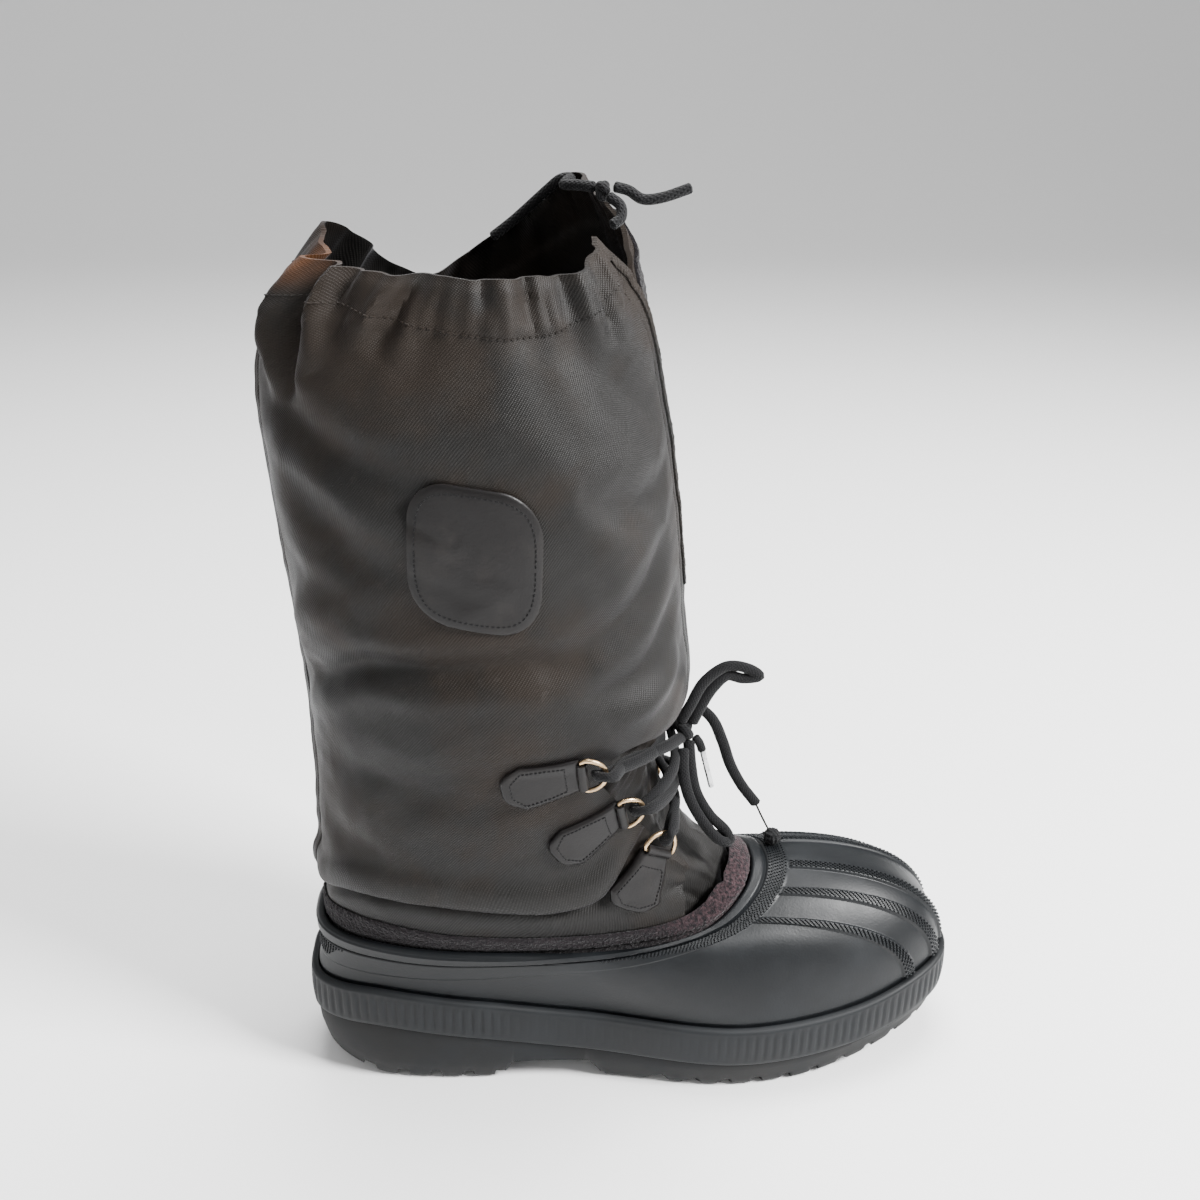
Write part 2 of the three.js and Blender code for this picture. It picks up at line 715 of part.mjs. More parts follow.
// Bellows tongue: nylon across the ankle's front, inside the shaft and the rubber collar
function tongue() {
  const { reach, fromUp, toUp, thick, fromSunk, toSunk } = TONGUE;
  const layer = (deep) =>
    stepsTo(5).map((r) =>
      stepsTo(10).map((s) =>
        shaftSkin(lerp(-reach, reach, s), lerp(fromUp, toUp, r), -lerp(fromSunk, toSunk, r) - deep),
      ),
    );
  return wall(layer(0), layer(thick), false);
}

// Fleece band: a ring in the joint of nylon and rubber that shows above the collar
function fleeceBand() {
  const rise = rimHeight(90) - collarHeight(90);
  const layer = (height) =>
    [-0.5, 0, 1].map((part) =>
      steps(38).map((s) => {
        const turn = s * 360;
        return onNylon(turn, (part * readRound(COLLAR_EDGE, "fleece", turn)) / rise, height);
      }),
    );
  return wall(layer(2 * GAP + PILE_THICK), layer(2 * GAP), true);
}

// Back stay: a strip over the back seam, crossing the shaft on the shaft's own rows
function backStay() {
  const { halfTurn, fromUp, toUp, thick } = BACK_STAY;
  const layer = (height) =>
    SHAFT_UPS.filter((up) => up >= fromUp && up <= toUp).map((up) =>
      [-1, 0, 1].map((side) => onNylon(180 + side * halfTurn, up, height)),
    );
  return wall(layer(GAP + 0.1 + thick), layer(GAP + 0.1), false);
}

// A frame of directions on the shaft: origin, along (forward and up by `lean`), across and out
function spot(turn, up, lean, side) {
  const place = side > 0 ? turn : 360 - turn;
  const [dt, du] = [1, 0.004];
  const forward = shaftSkin(place - dt * side, up).sub(shaftSkin(place + dt * side, up)).normalize();
  const upward = shaftSkin(place, up + du).sub(shaftSkin(place, up - du)).normalize();
  const out = forward.clone().cross(upward).multiplyScalar(side).normalize();
  const rise = out.clone().cross(forward).multiplyScalar(side).normalize();
  const [c, s] = [Math.cos(radians(lean)), Math.sin(radians(lean))];
  const along = forward.clone().multiplyScalar(c).addScaledVector(rise, s);
  const across = rise.clone().multiplyScalar(c).addScaledVector(forward, -s);
  return { place, up, side, lean, origin: shaftSkin(place, up), along, across, out };
}

// The shaft's skin at `a` along and `b` across a spot, in millimetres, `height` off the nylon
function onSkin(at, a, b, height) {
  const [c, s] = [Math.cos(radians(at.lean)), Math.sin(radians(at.lean))];
  const [forward, rise] = [a * c - b * s, a * s + b * c];
  const turnStep = shaftSkin(at.place + 1, at.up).distanceTo(shaftSkin(at.place, at.up));
  const upStep = shaftSkin(at.place, at.up + 0.01).distanceTo(shaftSkin(at.place, at.up)) * 100;
  return onNylon(at.place - (at.side * forward) / turnStep, at.up + rise / upStep, height + 0.3);
}

// Leather tab: a strap with a pointed end, laid on the nylon, with an eye for the ring's bar
function tab(at) {
  const { long, wide, narrow, point, thick, eyeOuter, eyeHole } = TAB;
  const rows = [
    { a: -long / 2, wide: 6 },
    { a: -long / 2 + point, wide },
    { a: 2, wide: lerp(wide, narrow, 0.5) },
    { a: long / 2 - eyeHole - 0.3, wide: narrow },
  ];
  const layer = (height) =>
    rows.map((row) => [-0.5, 0, 0.5].map((b) => onSkin(at, row.a, b * row.wide, height)));
  const body = wall(layer(GAP + thick), layer(GAP), false);
  const eye = new THREE.Shape();
  eye.absarc(0, 0, eyeOuter, 0, Math.PI * 2);
  const hole = new THREE.Path();
  hole.absarc(0, 0, eyeHole, 0, Math.PI * 2, true);
  eye.holes.push(hole);
  const eyeWide = RING.bar - 3;
  const loop = new THREE.ExtrudeGeometry(eye, { depth: eyeWide, bevelEnabled: false, curveSegments: 4 });
  loop.translate(0, 0, -eyeWide / 2);
  loop.applyMatrix4(eyeFrame(at));
  return join([body, loop]);
}

// Where the ring's bar runs: its middle, with Z along the bar and X away from the tab
function eyeFrame(at) {
  const { long, eyeOuter } = TAB;
  const middle = onSkin(at, long / 2, 0, 0);
  const low = onSkin(at, long / 2, -RING.bar / 2, 0);
  const high = onSkin(at, long / 2, RING.bar / 2, 0);
  const bar = high.clone().sub(low).normalize();
  const back = onSkin(at, long / 2 - 6, 0, 0);
  const ahead = middle.clone().sub(back);
  const out = ahead.clone().addScaledVector(bar, -ahead.dot(bar)).cross(bar).normalize();
  if (out.dot(at.out) < 0) out.negate();
  const away = bar.clone().cross(out).normalize();
  if (away.dot(ahead) < 0) away.negate();
  const lifted = middle.clone().addScaledVector(out, GAP + eyeOuter + 0.25);
  const upright = new THREE.Vector3().crossVectors(bar, away);
  return new THREE.Matrix4().makeBasis(away, upright, bar).setPosition(lifted);
}

// The ring's own frame: the eye's, tipped off the nylon so that a lace passes under its bow
function ringFrame(at) {
  const eye = eyeFrame(at);
  const outX = new THREE.Vector3().setFromMatrixColumn(eye, 1).dot(at.out);
  return eye.multiply(new THREE.Matrix4().makeRotationZ(radians(RING.tilt) * Math.sign(outX)));
}

// D-ring: a round wire along a straight bar, two short legs and a half circle
function ring(at) {
  const { wire, bar, leg, sides } = RING;
  const half = bar / 2;
  const path = [];
  path.push([0, 0.5 - half], [0, half - 0.5]);
  for (const s of stepsTo(8)) {
    const angle = radians(90 - 180 * s);
    path.push([leg + Math.cos(angle) * half, Math.sin(angle) * half]);
  }
  const points = path.map(([x, z]) => new THREE.Vector3(x, 0, z));
  const rings = points.map((p, i) => {
    const before = points[(i + points.length - 1) % points.length];
    const after = points[(i + 1) % points.length];
    const run = after.clone().sub(before).normalize();
    const side = new THREE.Vector3(-run.z, 0, run.x);
    return steps(sides).map((s) => {
      const angle = s * Math.PI * 2;
      const q = p.clone().addScaledVector(side, Math.cos(angle) * wire);
      q.y += Math.sin(angle) * wire;
      return q;
    });
  });
  const triangles = [];
  const push = (...corners) => corners.forEach((p) => triangles.push(p.x, p.y, p.z));
  gridFaces(push, [...rings, rings[0]], true, false);
  const made = facingOut(triangles);
  made.applyMatrix4(ringFrame(at));
  return made;
}

// A cord of round section through points
function cordAlong(points, diameter, stepLength, sides = 6) {
  const curve = new THREE.CatmullRomCurve3(points.map((p) => new THREE.Vector3(...p)));
  const section = new THREE.Shape();
  steps(sides).forEach((s, i) => {
    const [x, y] = [Math.cos(s * Math.PI * 2), Math.sin(s * Math.PI * 2)].map((v) => (v * diameter) / 2);
    if (i === 0) section.moveTo(x, y);
    else section.lineTo(x, y);
  });
  section.closePath();
  const count = Math.max(2, Math.round(curve.getLength() / stepLength));
  return new THREE.ExtrudeGeometry(section, { steps: count, extrudePath: curve, bevelEnabled: false });
}

// The end of a ring's bow, where the laces of that ring meet just clear of its wire
function hub(at) {
  const ahead = RING.leg + RING.bar / 2 + RING.wire + LACE_WIDE / 2 + GAP;
  return new THREE.Vector3(ahead, 0, 0).applyMatrix4(ringFrame(at)).toArray();
}

const spots = (side) => TABS.map(({ turn, up, lean }) => spot(turn, up, lean, side));

// The place on the tongue's outer face at a height and a distance from the boot's middle
function onTongue(y, z, lift) {
  const { reach, fromUp, toUp, fromSunk, toSunk } = TONGUE;
  const up = (z - collarHeight(0)) / (rimHeight(0) - collarHeight(0));
  const sunk = lerp(fromSunk, toSunk, clamp((up - fromUp) / (toUp - fromUp), 0, 1));
  const places = stepsTo(100).map((s) => shaftSkin(lerp(-reach, reach, s), up, lift - sunk));
  const nearest = places.reduce((a, b) => (Math.abs(b.y - y) < Math.abs(a.y - y) ? b : a));
  return [nearest.x, y, z];
}

// The crossings: one bar at the lowest pair of rings, two crosses, and a strand to the knot each side
function laceBars() {
  const [outer, inner] = [spots(1).map(hub), spots(-1).map(hub)];
  const between = (a, b, s, lift) => onTongue(lerp(a[1], b[1], s), lerp(a[2], b[2], s), lift);
  const strand = (a, b, lift) => {
    const over = [between(a, b, 0.2, 9), between(a, b, 0.5, lift), between(a, b, 0.8, 9)];
    return cordAlong([a, ...over, b], LACE_WIDE, 19, 6);
  };
  const toKnot = (from, side) => {
    const end = [KNOT.x - 1, KNOT.y + side * (KNOT.across / 2 + 3 * GAP), KNOT.z];
    return cordAlong([from, ...[0.25, 0.6].map((s) => between(from, end, s, 9.5)), end], LACE_WIDE, 16, 6);
  };
  const [top, middle, low] = [0, 1, 2];
  const bars = [
    strand(outer[low], inner[low], 4.5),
    strand(outer[low], inner[middle], 5),
    strand(inner[low], outer[middle], 5),
    strand(outer[middle], inner[top], 5),
    strand(inner[middle], outer[top], 5),
    toKnot(outer[top], -1),
    toKnot(inner[top], 1),
  ];
  return join(bars);
}

// A round knot or bead at a place, `high` upright and `across` the boot
function ball({ x, y, z, across, high = across }) {
  const made = new THREE.SphereGeometry(0.5, 8, 6);
  made.scale(high, across, high);
  made.translate(x, y, z);
  return made;
}

// Badge: a leather plate with wide round corners on the outer side of the shaft
function badge() {
  const { turn, up, lean, wide, high, corner, thick } = BADGE;
  const at = spot(turn, up, lean, 1);
  const halfWide = (b) => {
    const fromEdge = high / 2 - Math.abs(b);
    const cutIn = fromEdge < corner ? corner - Math.sqrt(corner ** 2 - (corner - fromEdge) ** 2) : 0;
    return wide / 2 - cutIn;
  };
  const rows = [-0.5, -0.47, -0.4, -0.28, 0, 0.28, 0.4, 0.47, 0.5].map((s) => s * high);
  const layer = (height) =>
    rows.map((b) => stepsTo(4).map((s) => onSkin(at, lerp(-1, 1, s) * halfWide(b), b, height)));
  return wall(layer(GAP + thick), layer(GAP), false);
}

addPiece("outsole", outsole(), "sole");
addPiece("foxing_band", foxing(), "rubber");
addPiece("rubber_shell", shell(), "rubber");
addPiece("insole", insole(), "felt");
addPiece("shaft", shaft(), "nylon");
addPiece("tongue", tongue(), "nylon");
addPiece("fleece_band", fleeceBand(), "fleece");
addPiece("back_stay", backStay(), "nylon");
addPiece("badge", badge(), "leather");

for (const [side, label] of [
  [1, "outer"],
  [-1, "inner"],
]) {
  TABS.forEach(({ name }, i) => {
    const at = spots(side)[i];
    addPiece(`tab_${label}_${name}`, tab(at), "leather");
    addPiece(`d_ring_${label}_${name}`, ring(at), "brass");
  });
}

addPiece("lace_bars", laceBars(), "lace");
addPiece("lace_knot", ball(KNOT), "lace");
addPiece("lace_ball", ball(LACE_BALL), "lace");
addPiece("drawcord_knot", ball(CORD_KNOT), "lace");
addPiece("aglet", cordAlong([AGLET.from, AGLET.to], AGLET.wide, 20), "tip");
FREE_CORDS.forEach(({ name, wide, route }) => addPiece(name, cordAlong(route, wide, 8), "lace"));

export default boot;
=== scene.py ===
"""A tall pac boot, right foot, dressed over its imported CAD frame.

A moulded rubber foot shell with ribbed toe cap, ribbed foxing and lugged sole carries a slack
nylon leg with a drawcord hem, a lapped front, leather tabs with D-rings, laces and a bow.
Shapes are worked out in millimetres and put into the meshes in metres. Everywhere "turn" is an
angle round the boot in degrees, seen from above: 0 at the front, 90 at the outer side, 180 at the
heel and 270 at the inner side, and "up" runs from the rubber collar, 0, to the leg's rim, 1.
"""

import math

import bpy
import numpy as np
from mathutils import Matrix, Vector


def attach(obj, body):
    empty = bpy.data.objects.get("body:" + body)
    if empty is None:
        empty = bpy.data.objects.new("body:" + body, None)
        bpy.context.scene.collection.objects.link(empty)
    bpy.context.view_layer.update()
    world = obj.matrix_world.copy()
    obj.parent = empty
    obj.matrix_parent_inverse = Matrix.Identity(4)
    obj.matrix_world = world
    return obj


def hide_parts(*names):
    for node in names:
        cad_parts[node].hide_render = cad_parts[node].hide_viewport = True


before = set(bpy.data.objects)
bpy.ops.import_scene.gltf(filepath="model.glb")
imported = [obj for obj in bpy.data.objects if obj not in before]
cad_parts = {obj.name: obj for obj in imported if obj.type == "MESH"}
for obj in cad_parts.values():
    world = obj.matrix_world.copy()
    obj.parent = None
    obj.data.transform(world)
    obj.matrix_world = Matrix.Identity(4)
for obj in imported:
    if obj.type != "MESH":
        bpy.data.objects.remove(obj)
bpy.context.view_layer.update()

bl_info = {
    "name": "Pac boot",
    "version": (1, 0, 0),
    "blender": (4, 5, 0),
    "location": "3D View > Sidebar > Boot",
    "description": "Dresses the packed pac boot with cloth, rubber, leather and laces",
    "category": "Object",
}

MM = 0.001
GAP = 0.3  # air kept between pieces that touch
FOXING_THICK = 3.0
FOXING_HIGH = 20.0
SHELL_SEAT = 12.0
RUBBER = 3.0
NYLON = 2.0
HEEL_BACK = -46.0
SOLE_LENGTH = 312.0
PLAN_POWER = 3.3
SOLE_MIDDLE = (110.0, 0.0)
TOE_POWER = 2.2

PLAN = {
    "x": [-46, 15, 78, 150, 210, 266],
    "outer": [45, 45, 45, 58, 54, 44],
    "inner": [43, 43, 39, 53, 57, 56],
}
HEIGHTS = {
    "x": [-46, -26, -10, 35, 75, 144, 186, 214, 244, 266],
    "tread": [13, 4.5, 0, 0, 0, 0, 0, 4, 11, 17],
    "foxing_top": [53, 54, 54, 48, 41.5, 37, 37, 39, 44.5, 49],
}
COLLAR = {"back": -41, "front": 166, "outer": 46, "inner": 44, "power": 2.6}
COLLAR_EDGE = {
    "turn": [0, 24, 48, 80, 105, 135, 180, 225, 255, 280, 312, 336],
    "z": [96, 89, 79, 76, 77.5, 80, 80, 80, 77.5, 76, 79, 89],
    "fleece": [7, 7, 6, 8, 10, 13, 12, 13, 10, 8, 6, 7],
}
TOE_RIB = {"foot": 8.2, "head": 4.8, "high": 1.2, "turns": [-41, -23.5, -7.5, 7.5, 23.5, 41]}
SHAFT = {
    "up": [-0.04, 0, 0.03, 0.07, 0.13, 0.21, 0.3, 0.43, 0.67, 0.84, 0.92, 1],
    "back": [-34.5, -35.5, -36.5, -37, -36.5, -35.5, -35, -36, -41.5, -43.5, -37, -18],
    "front": [158, 160, 153, 139, 128, 122, 128, 129.5, 123, 113.5, 107, 94.5],
    "outer": [38, 40, 43, 47, 49.5, 52, 55, 58, 60, 58, 54, 49],
    "inner": [36, 38, 41, 45, 47.5, 50, 53, 56, 58, 56, 52, 46],
    "power": [2.5, 2.55, 2.45, 2.4, 2.3, 2.2, 2.15, 2.1, 2.1, 2.1, 2.1, 2.1],
}
RIM_EDGE = {
    "turn": [0, 16, 40, 75, 115, 155, 180, 204, 232, 255, 285, 303, 319, 341],
    "z": [396, 390, 377, 375, 377, 378, 380, 388, 373, 365, 384, 397, 406, 402],
}
FLAPS = {"up": [-0.04, 0.78, 0.9, 1], "outer_flap": [9, 9, 12, 22], "inner_flap": [386, 386, 371, 356]}
THROAT = {"low": (130, 110), "middle": (117, 124), "high": (88, 168), "top": 182}
LAP = {"start": 334, "end": 364, "deep": NYLON + 0.7}
TONGUE = {"reach": 72, "from_up": -0.03, "to_up": 0.37, "thick": 2, "from_sunk": 5.9, "to_sunk": 7.2}

# Rows of the leg's lower overhang, where the slack cloth falls over the ankle band
OVERHANG = {
    "turn": [20, 45, 63, 82, 97, 112, 130, 155, 180, 205, 230, 248, 263, 278, 297, 315, 340],
    "up": [0.19, 0.155, 0.118, 0.103, 0.113, 0.124, 0.115, 0.095, 0.085,
           0.095, 0.115, 0.124, 0.113, 0.103, 0.118, 0.155, 0.19],
    "force": [0, 0.5, 1, 1, 1, 1, 0.9, 0.8, 0.8, 0.8, 0.9, 1, 1, 1, 1, 0.5, 0],
}

# Stitch line under the drawcord casing
CASING_SEAM = {
    "turn": [30, 47, 61, 76, 88, 102, 115, 133, 180, 227, 258, 299, 330],
    "up": [0.958, 0.95, 0.935, 0.933, 0.938, 0.945, 0.953, 0.962, 0.955, 0.95, 0.94, 0.94, 0.95],
}

# Creases of the leg: turn and up of both ends, half width and depth in millimetres,
# and how far the middle bows up. A depth under 0 is a ridge.
CREASES = [
    # rim folds at the back and the dip at the outer side
    (155, 1.03, 142, 0.84, 6.0, 7.0, 0),
    (167, 1.03, 160, 0.88, 5.5, -4.5, 0),
    (142, 1.03, 131, 0.88, 5.5, -4.2, 0),
    (102.5, 1.03, 112, 0.9, 5.0, 3.6, 0),
    (120, 1.03, 124, 0.93, 5.0, 1.6, 0),
    (84, 1.03, 80, 0.95, 3.0, 1.2, 0),
    (66, 1.03, 69, 0.94, 3.0, 1.3, 0),
    (48, 1.03, 54, 0.93, 3.2, 1.5, 0),
    (33, 1.03, 38, 0.9, 4.0, 1.8, 0),
    # long soft lines of the upper leg
    (168, 0.86, 92, 0.7, 9, 2.6, 4),
    (150, 0.76, 112, 0.62, 11, 2.2, -4),
    (58, 0.93, 24, 0.74, 9, 2.4, 6),
    (62, 0.74, 22, 0.69, 8, 2.6, -6),
    (86, 0.86, 44, 0.6, 14, -1.8, 8),
    # the line under the badge and the fan to the front edge
    (176, 0.4, 62, 0.5, 6.5, 3.4, 12),
    (168, 0.5, 128, 0.56, 9, -2.4, 4),
    (80, 0.5, 26, 0.63, 7, 2.2, -6),
    (70, 0.44, 22, 0.52, 7, 1.8, -4),
    (58, 0.4, 24, 0.44, 6, -1.6, 0),
    (150, 0.31, 92, 0.36, 9, 1.6, -6),
    (130, 0.24, 88, 0.27, 9, 1.5, 8),
    (160, 0.2, 122, 0.17, 8, 1.4, 0),
    # inner side, a mirrored guess
    (192, 0.4, 300, 0.5, 7, 3.0, 10),
    (200, 0.78, 262, 0.66, 10, 2.4, -6),
    (250, 0.93, 318, 0.76, 9, 2.2, 6),
    (218, 1.03, 226, 0.88, 5, 4.2, 0),
    (262, 1.03, 254, 0.9, 5, 3.0, 0),
    (300, 1.03, 296, 0.9, 5, 2.2, 0),
    (280, 0.46, 334, 0.6, 8, 2.0, -6),
    (210, 0.3, 276, 0.34, 9, 1.8, -6),
    # crumples of the ankle in front, below the lowest tab
    (44, 0.075, 30, 0.012, 2.6, 1.8, 0),
    (33, 0.1, 22, 0.01, 2.4, -2.0, 0),
    (24, 0.09, 16, 0.0, 2.6, 2.2, 0),
    (316, 0.075, 330, 0.012, 2.6, 1.8, 0),
    (327, 0.1, 338, 0.01, 2.4, -2.0, 0),
]

TABS = {"top": (79, 0.325, 10), "middle": (62, 0.216, 24), "low": (48, 0.1, 36)}
TAB = {"long": 33, "wide": 22, "narrow": 17, "point": 8, "thick": 2.8, "eye": 2.5}
RING = {"wire": 2.1, "bar": 17.0, "leg": 1.5, "tilt": 16.0}
KNOT = (131, -6, 167.5)
CORD_KNOT = (92, 1.5, 401.4)
LACE_BALL = (178.4, 5, 100.6)
BADGE = {"turn": 91, "up": 0.66, "lean": -9, "wide": 54, "high": 58, "corner": 18, "thick": 2}
LUG = {"pitch": 15, "groove": 5.2, "deep": 5.4, "skew": 14}
LUGGED = [(-27, 33), (106, 256)]
ARCH = {"from": 43, "to": 90, "high": 12, "slope": 5}

ROUTES = {
    "bow_loop_upper": [
        (129.1, -6.5, 173), (133, -8, 182), (138.5, -8, 193), (148, -8, 200.5), (157.5, -8, 199.5),
        (163.5, -7.5, 195), (156.5, -6.5, 193.6), (149, -6.5, 195.2), (142.5, -6.5, 188.6),
        (137.6, -6.5, 179.5), (134.6, -5.5, 171.8),
    ],
    "bow_loop_lower": [
        (132.6, -9, 163.2), (133.5, -12, 152), (136, -14, 140), (142, -17, 129.5),
        (149.5, -18.5, 121.5), (151.5, -20.5, 116.5), (146, -21.5, 118.6), (138.4, -19, 127.6),
        (132.2, -17, 139.6), (129.6, -15, 151.6), (129.6, -12.5, 161.2),
    ],
    "lace_end": [
        (133.2, -0.4, 170.6), (138.5, 4, 173.6), (145.5, 3, 168), (150.8, 3, 156), (155, 3, 143.6),
        (161, 3, 132), (168.5, 3, 121.5),
    ],
    "bead_thread": [(168.7, 3, 121), (172, 4, 113.5), (176.4, 4.7, 104.5)],
    "lace_stub": [(136, -6.5, 164.2), (138, -7.5, 161.5), (139, -8.5, 158.5)],
    "hem_cord_loop": [(94.3, -2.3, 399.2), (98.3, -4.6, 396.2), (98.3, -7, 392), (95, -9, 389.6)],
    "hem_cord_tail": [
        (97, 2.2, 402.5), (102.1, 1.5, 401.2), (107.5, 0, 398.2), (115.3, -1, 399),
        (125.5, -1, 402.3),
    ],
}


def linear(hex_colour):
    """Scene-linear colour of a #rrggbb value: each channel through the sRGB curve."""
    channels = [int(hex_colour[i : i + 2], 16) / 255 for i in (1, 3, 5)]
    return tuple(c / 12.92 if c <= 0.04045 else ((c + 0.055) / 1.055) ** 2.4 for c in channels)


def colour_property(name, description, hex_colour):
    return bpy.props.FloatVectorProperty(
        name=name, description=description, subtype="COLOR", size=3, min=0, max=1,
        default=linear(hex_colour),
    )


def size_property(name, description, value):
    return bpy.props.FloatProperty(
        name=name, description=description, default=value * MM, unit="LENGTH", precision=4
    )


class BootSizes(bpy.types.PropertyGroup):
    """Sizes that change how the boot is dressed."""

    lace_wide: size_property("Lace width", "Width of the tubular lace", 5.4)
    cord_wide: size_property("Drawcord width", "Width of the braided drawcord", 4.2)
    gather_high: size_property("Gathers", "Height of the gathers at the drawcord hem", 2.4)
    overhang_deep: size_property("Overhang", "How far the slack cloth falls over the ankle", 6.5)
    rib_pitch: size_property("Foxing rib pitch", "Distance between upright ribs of the foxing", 4.4)
    rib_deep: size_property("Foxing rib depth", "Depth of the grooves between those ribs", 0.6)
    knurl_pitch: size_property("Knurl pitch", "Distance between diamonds on the toe ribs", 2.3)
    stitch_pitch: size_property("Stitch pitch", "Distance between stitches of the leg", 2.6)
    crease_share: bpy.props.FloatProperty(
        name="Creases", description="How much of each crease's depth is used", default=1.45,
        min=0, max=2,
    )


class BootColours(bpy.types.PropertyGroup):
    """Colours of the boot's materials."""

    nylon: colour_property("Nylon", "Dark charcoal of the nylon", "#171615")
    nylon_worn: colour_property("Worn nylon", "Brown cast of the worn nylon", "#1e1813")
    nylon_rim: colour_property("Rubbed rim", "Rubbed brown at the rim's back", "#6e4424")
    rubber: colour_property("Rubber", "Blue-black rubber of the foot shell", "#0d0f11")
    rubber_dust: colour_property("Rubber dust", "Grey bloom and dust on the rubber", "#232629")
    sole: colour_property("Sole", "Black of the outsole", "#0b0b0b")
    leather: colour_property("Leather", "Black leather of tabs and badge", "#0c0a0a")
    brass: colour_property("Rings", "Pale gold of the D-rings", "#cdb08a")
    lace: colour_property("Lace", "Black of laces and drawcord", "#060607")
    fleece: colour_property("Fleece", "Purple-brown fleece at the front", "#3a2b2e")
    felt: colour_property("Felt", "Grey felt of the insole", "#5b5a56")
    floor: colour_property("Floor", "Pale studio floor", "#f4f4f4")


def sizes():
    """The size settings, as millimetres by name."""
    group = bpy.context.scene.boot_sizes
    names = [key for key in BootSizes.__annotations__ if key != "crease_share"]
    return {key: getattr(group, key) / MM for key in names}


def colour(name):
    return (*getattr(bpy.context.scene.boot_colours, name), 1.0)


# Tables and curves


def read(table, column, at):
    """Value of a column at a station: cubic Hermite curve through the table's rows."""
    key = next(iter(table))
    keys, values = np.array(table[key], float), np.array(table[column], float)
    at = np.asarray(at, float)
    last = len(keys) - 1
    i = np.clip(np.searchsorted(keys[1:-1], at, side="left"), 0, last - 1)
    span = keys[i + 1] - keys[i]

    def slope(a, b):
        return (values[b] - values[a]) / (keys[b] - keys[a])

    before = slope(np.maximum(i - 1, 0), i + 1)
    after = slope(i, np.minimum(i + 2, last))
    t = np.clip((at - keys[i]) / span, 0, 1)
    return (
        (2 * t**3 - 3 * t**2 + 1) * values[i]
        + (t**3 - 2 * t**2 + t) * span * before
        + (3 * t**2 - 2 * t**3) * values[i + 1]
        + (t**3 - t**2) * span * after
    )


def read_round(table, column, turn):
    """The same for a table that goes once round the boot."""
    keys, values = table["turn"], table[column]
    wrapped = {
        "turn": [k - 360 for k in keys[-2:]] + list(keys) + [k + 360 for k in keys[:2]],
        column: list(values[-2:]) + list(values) + list(values[:2]),
    }
    return read(wrapped, column, np.mod(turn, 360))


def smooth(value, low, high):
    """0 below low, 1 above high, and a smooth step between."""
    t = np.clip((np.asarray(value, float) - low) / (high - low), 0, 1)
    return t * t * (3 - 2 * t)


def lerp(a, b, share):
    return a + (b - a) * share


def rounded(turn, power):
    """Superellipse: signed cosine and sine to the power 2 / power."""
    c, s = np.cos(np.radians(turn)), np.sin(np.radians(turn))
    return np.sign(c) * np.abs(c) ** (2 / power), np.sign(s) * np.abs(s) ** (2 / power)


def foot_plan(turn):
    """Plan of the sole: superellipse whose half width is read at each x."""
    along, aside = rounded(turn, PLAN_POWER)
    x = HEEL_BACK + SOLE_LENGTH / 2 + along * SOLE_LENGTH / 2
    half = np.where(aside > 0, read(PLAN, "outer", x), read(PLAN, "inner", x))
    return np.stack([x, -aside * half], -1)


def oval_plan(turn, back, front, outer, inner, power):
    """Plan of an oval with its own half width on each side."""
    along, aside = rounded(turn, power)
    x = (back + front) / 2 + along * (front - back) / 2
    return np.stack([x, -aside * np.where(aside > 0, outer, inner)], -1)


def inset_curve(curve, turn, inset):
    """A plan curve moved inwards, square to itself."""
    run = curve(turn + 0.5) - curve(turn - 0.5)
    run = run / np.linalg.norm(run, axis=-1, keepdims=True)
    here = curve(turn)
    return np.stack([here[..., 0] + run[..., 1] * inset, here[..., 1] - run[..., 0] * inset], -1)


def collar_height(turn):
    return read_round(COLLAR_EDGE, "z", turn)


def rim_height(turn):
    return read_round(RIM_EDGE, "z", turn)


def foxing_top(x):
    return read(HEIGHTS, "foxing_top", x)


def tread(x):
    return np.maximum(read(HEIGHTS, "tread", x), 0)


def foot_ring(turn, inset, height):
    """The sole's plan moved in by inset, at the height that height(x) gives."""
    plan = inset_curve(foot_plan, turn, inset)
    return np.concatenate([plan, height(plan[..., 0])[..., None]], -1)


def shell_point(turn, share):
    """Foot shell: the wall leans from the foxing's top (share 0) to the collar (share 1); at the
    toe its profile is a quarter of a superellipse, and at the heel it pinches in a little."""
    turn, share = np.broadcast_arrays(np.asarray(turn, float), np.asarray(share, float))
    base = inset_curve(foot_plan, turn, FOXING_THICK + GAP)
    along, aside = rounded(share * 90, TOE_POWER)
    ahead = np.cos(np.radians(turn))
    toe = smooth(ahead, 0.05, 0.75)
    pinch = 1.6 * np.sin(np.pi * share) * smooth(-ahead, 0.3, 1)
    inward = lerp(share**1.35, 1 - along, toe)
    upward = lerp(share, aside, toe)
    plan = base + (oval_plan(turn, **COLLAR) - base) * inward[..., None]
    z = lerp(foxing_top(base[..., 0]), collar_height(turn), upward)
    return np.stack([plan[..., 0] + pinch, plan[..., 1], z], -1)


def shaft_skin(turn, up, out=0.0):
    """The leg without creases: ovals between the collar and the rim, `out` further out."""
    turn, up = np.broadcast_arrays(np.asarray(turn, float), np.asarray(up, float))
    oval = {name: read(SHAFT, name, up) for name in ("back", "front", "outer", "inner", "power")}
    plan = inset_curve(lambda at: oval_plan(at, **oval), turn, -np.asarray(out))
    z = lerp(collar_height(turn), rim_height(turn), up)
    return np.concatenate([plan, z[..., None]], -1)


MM_PER_TURN = 1.3
MM_PER_UP = 300.0


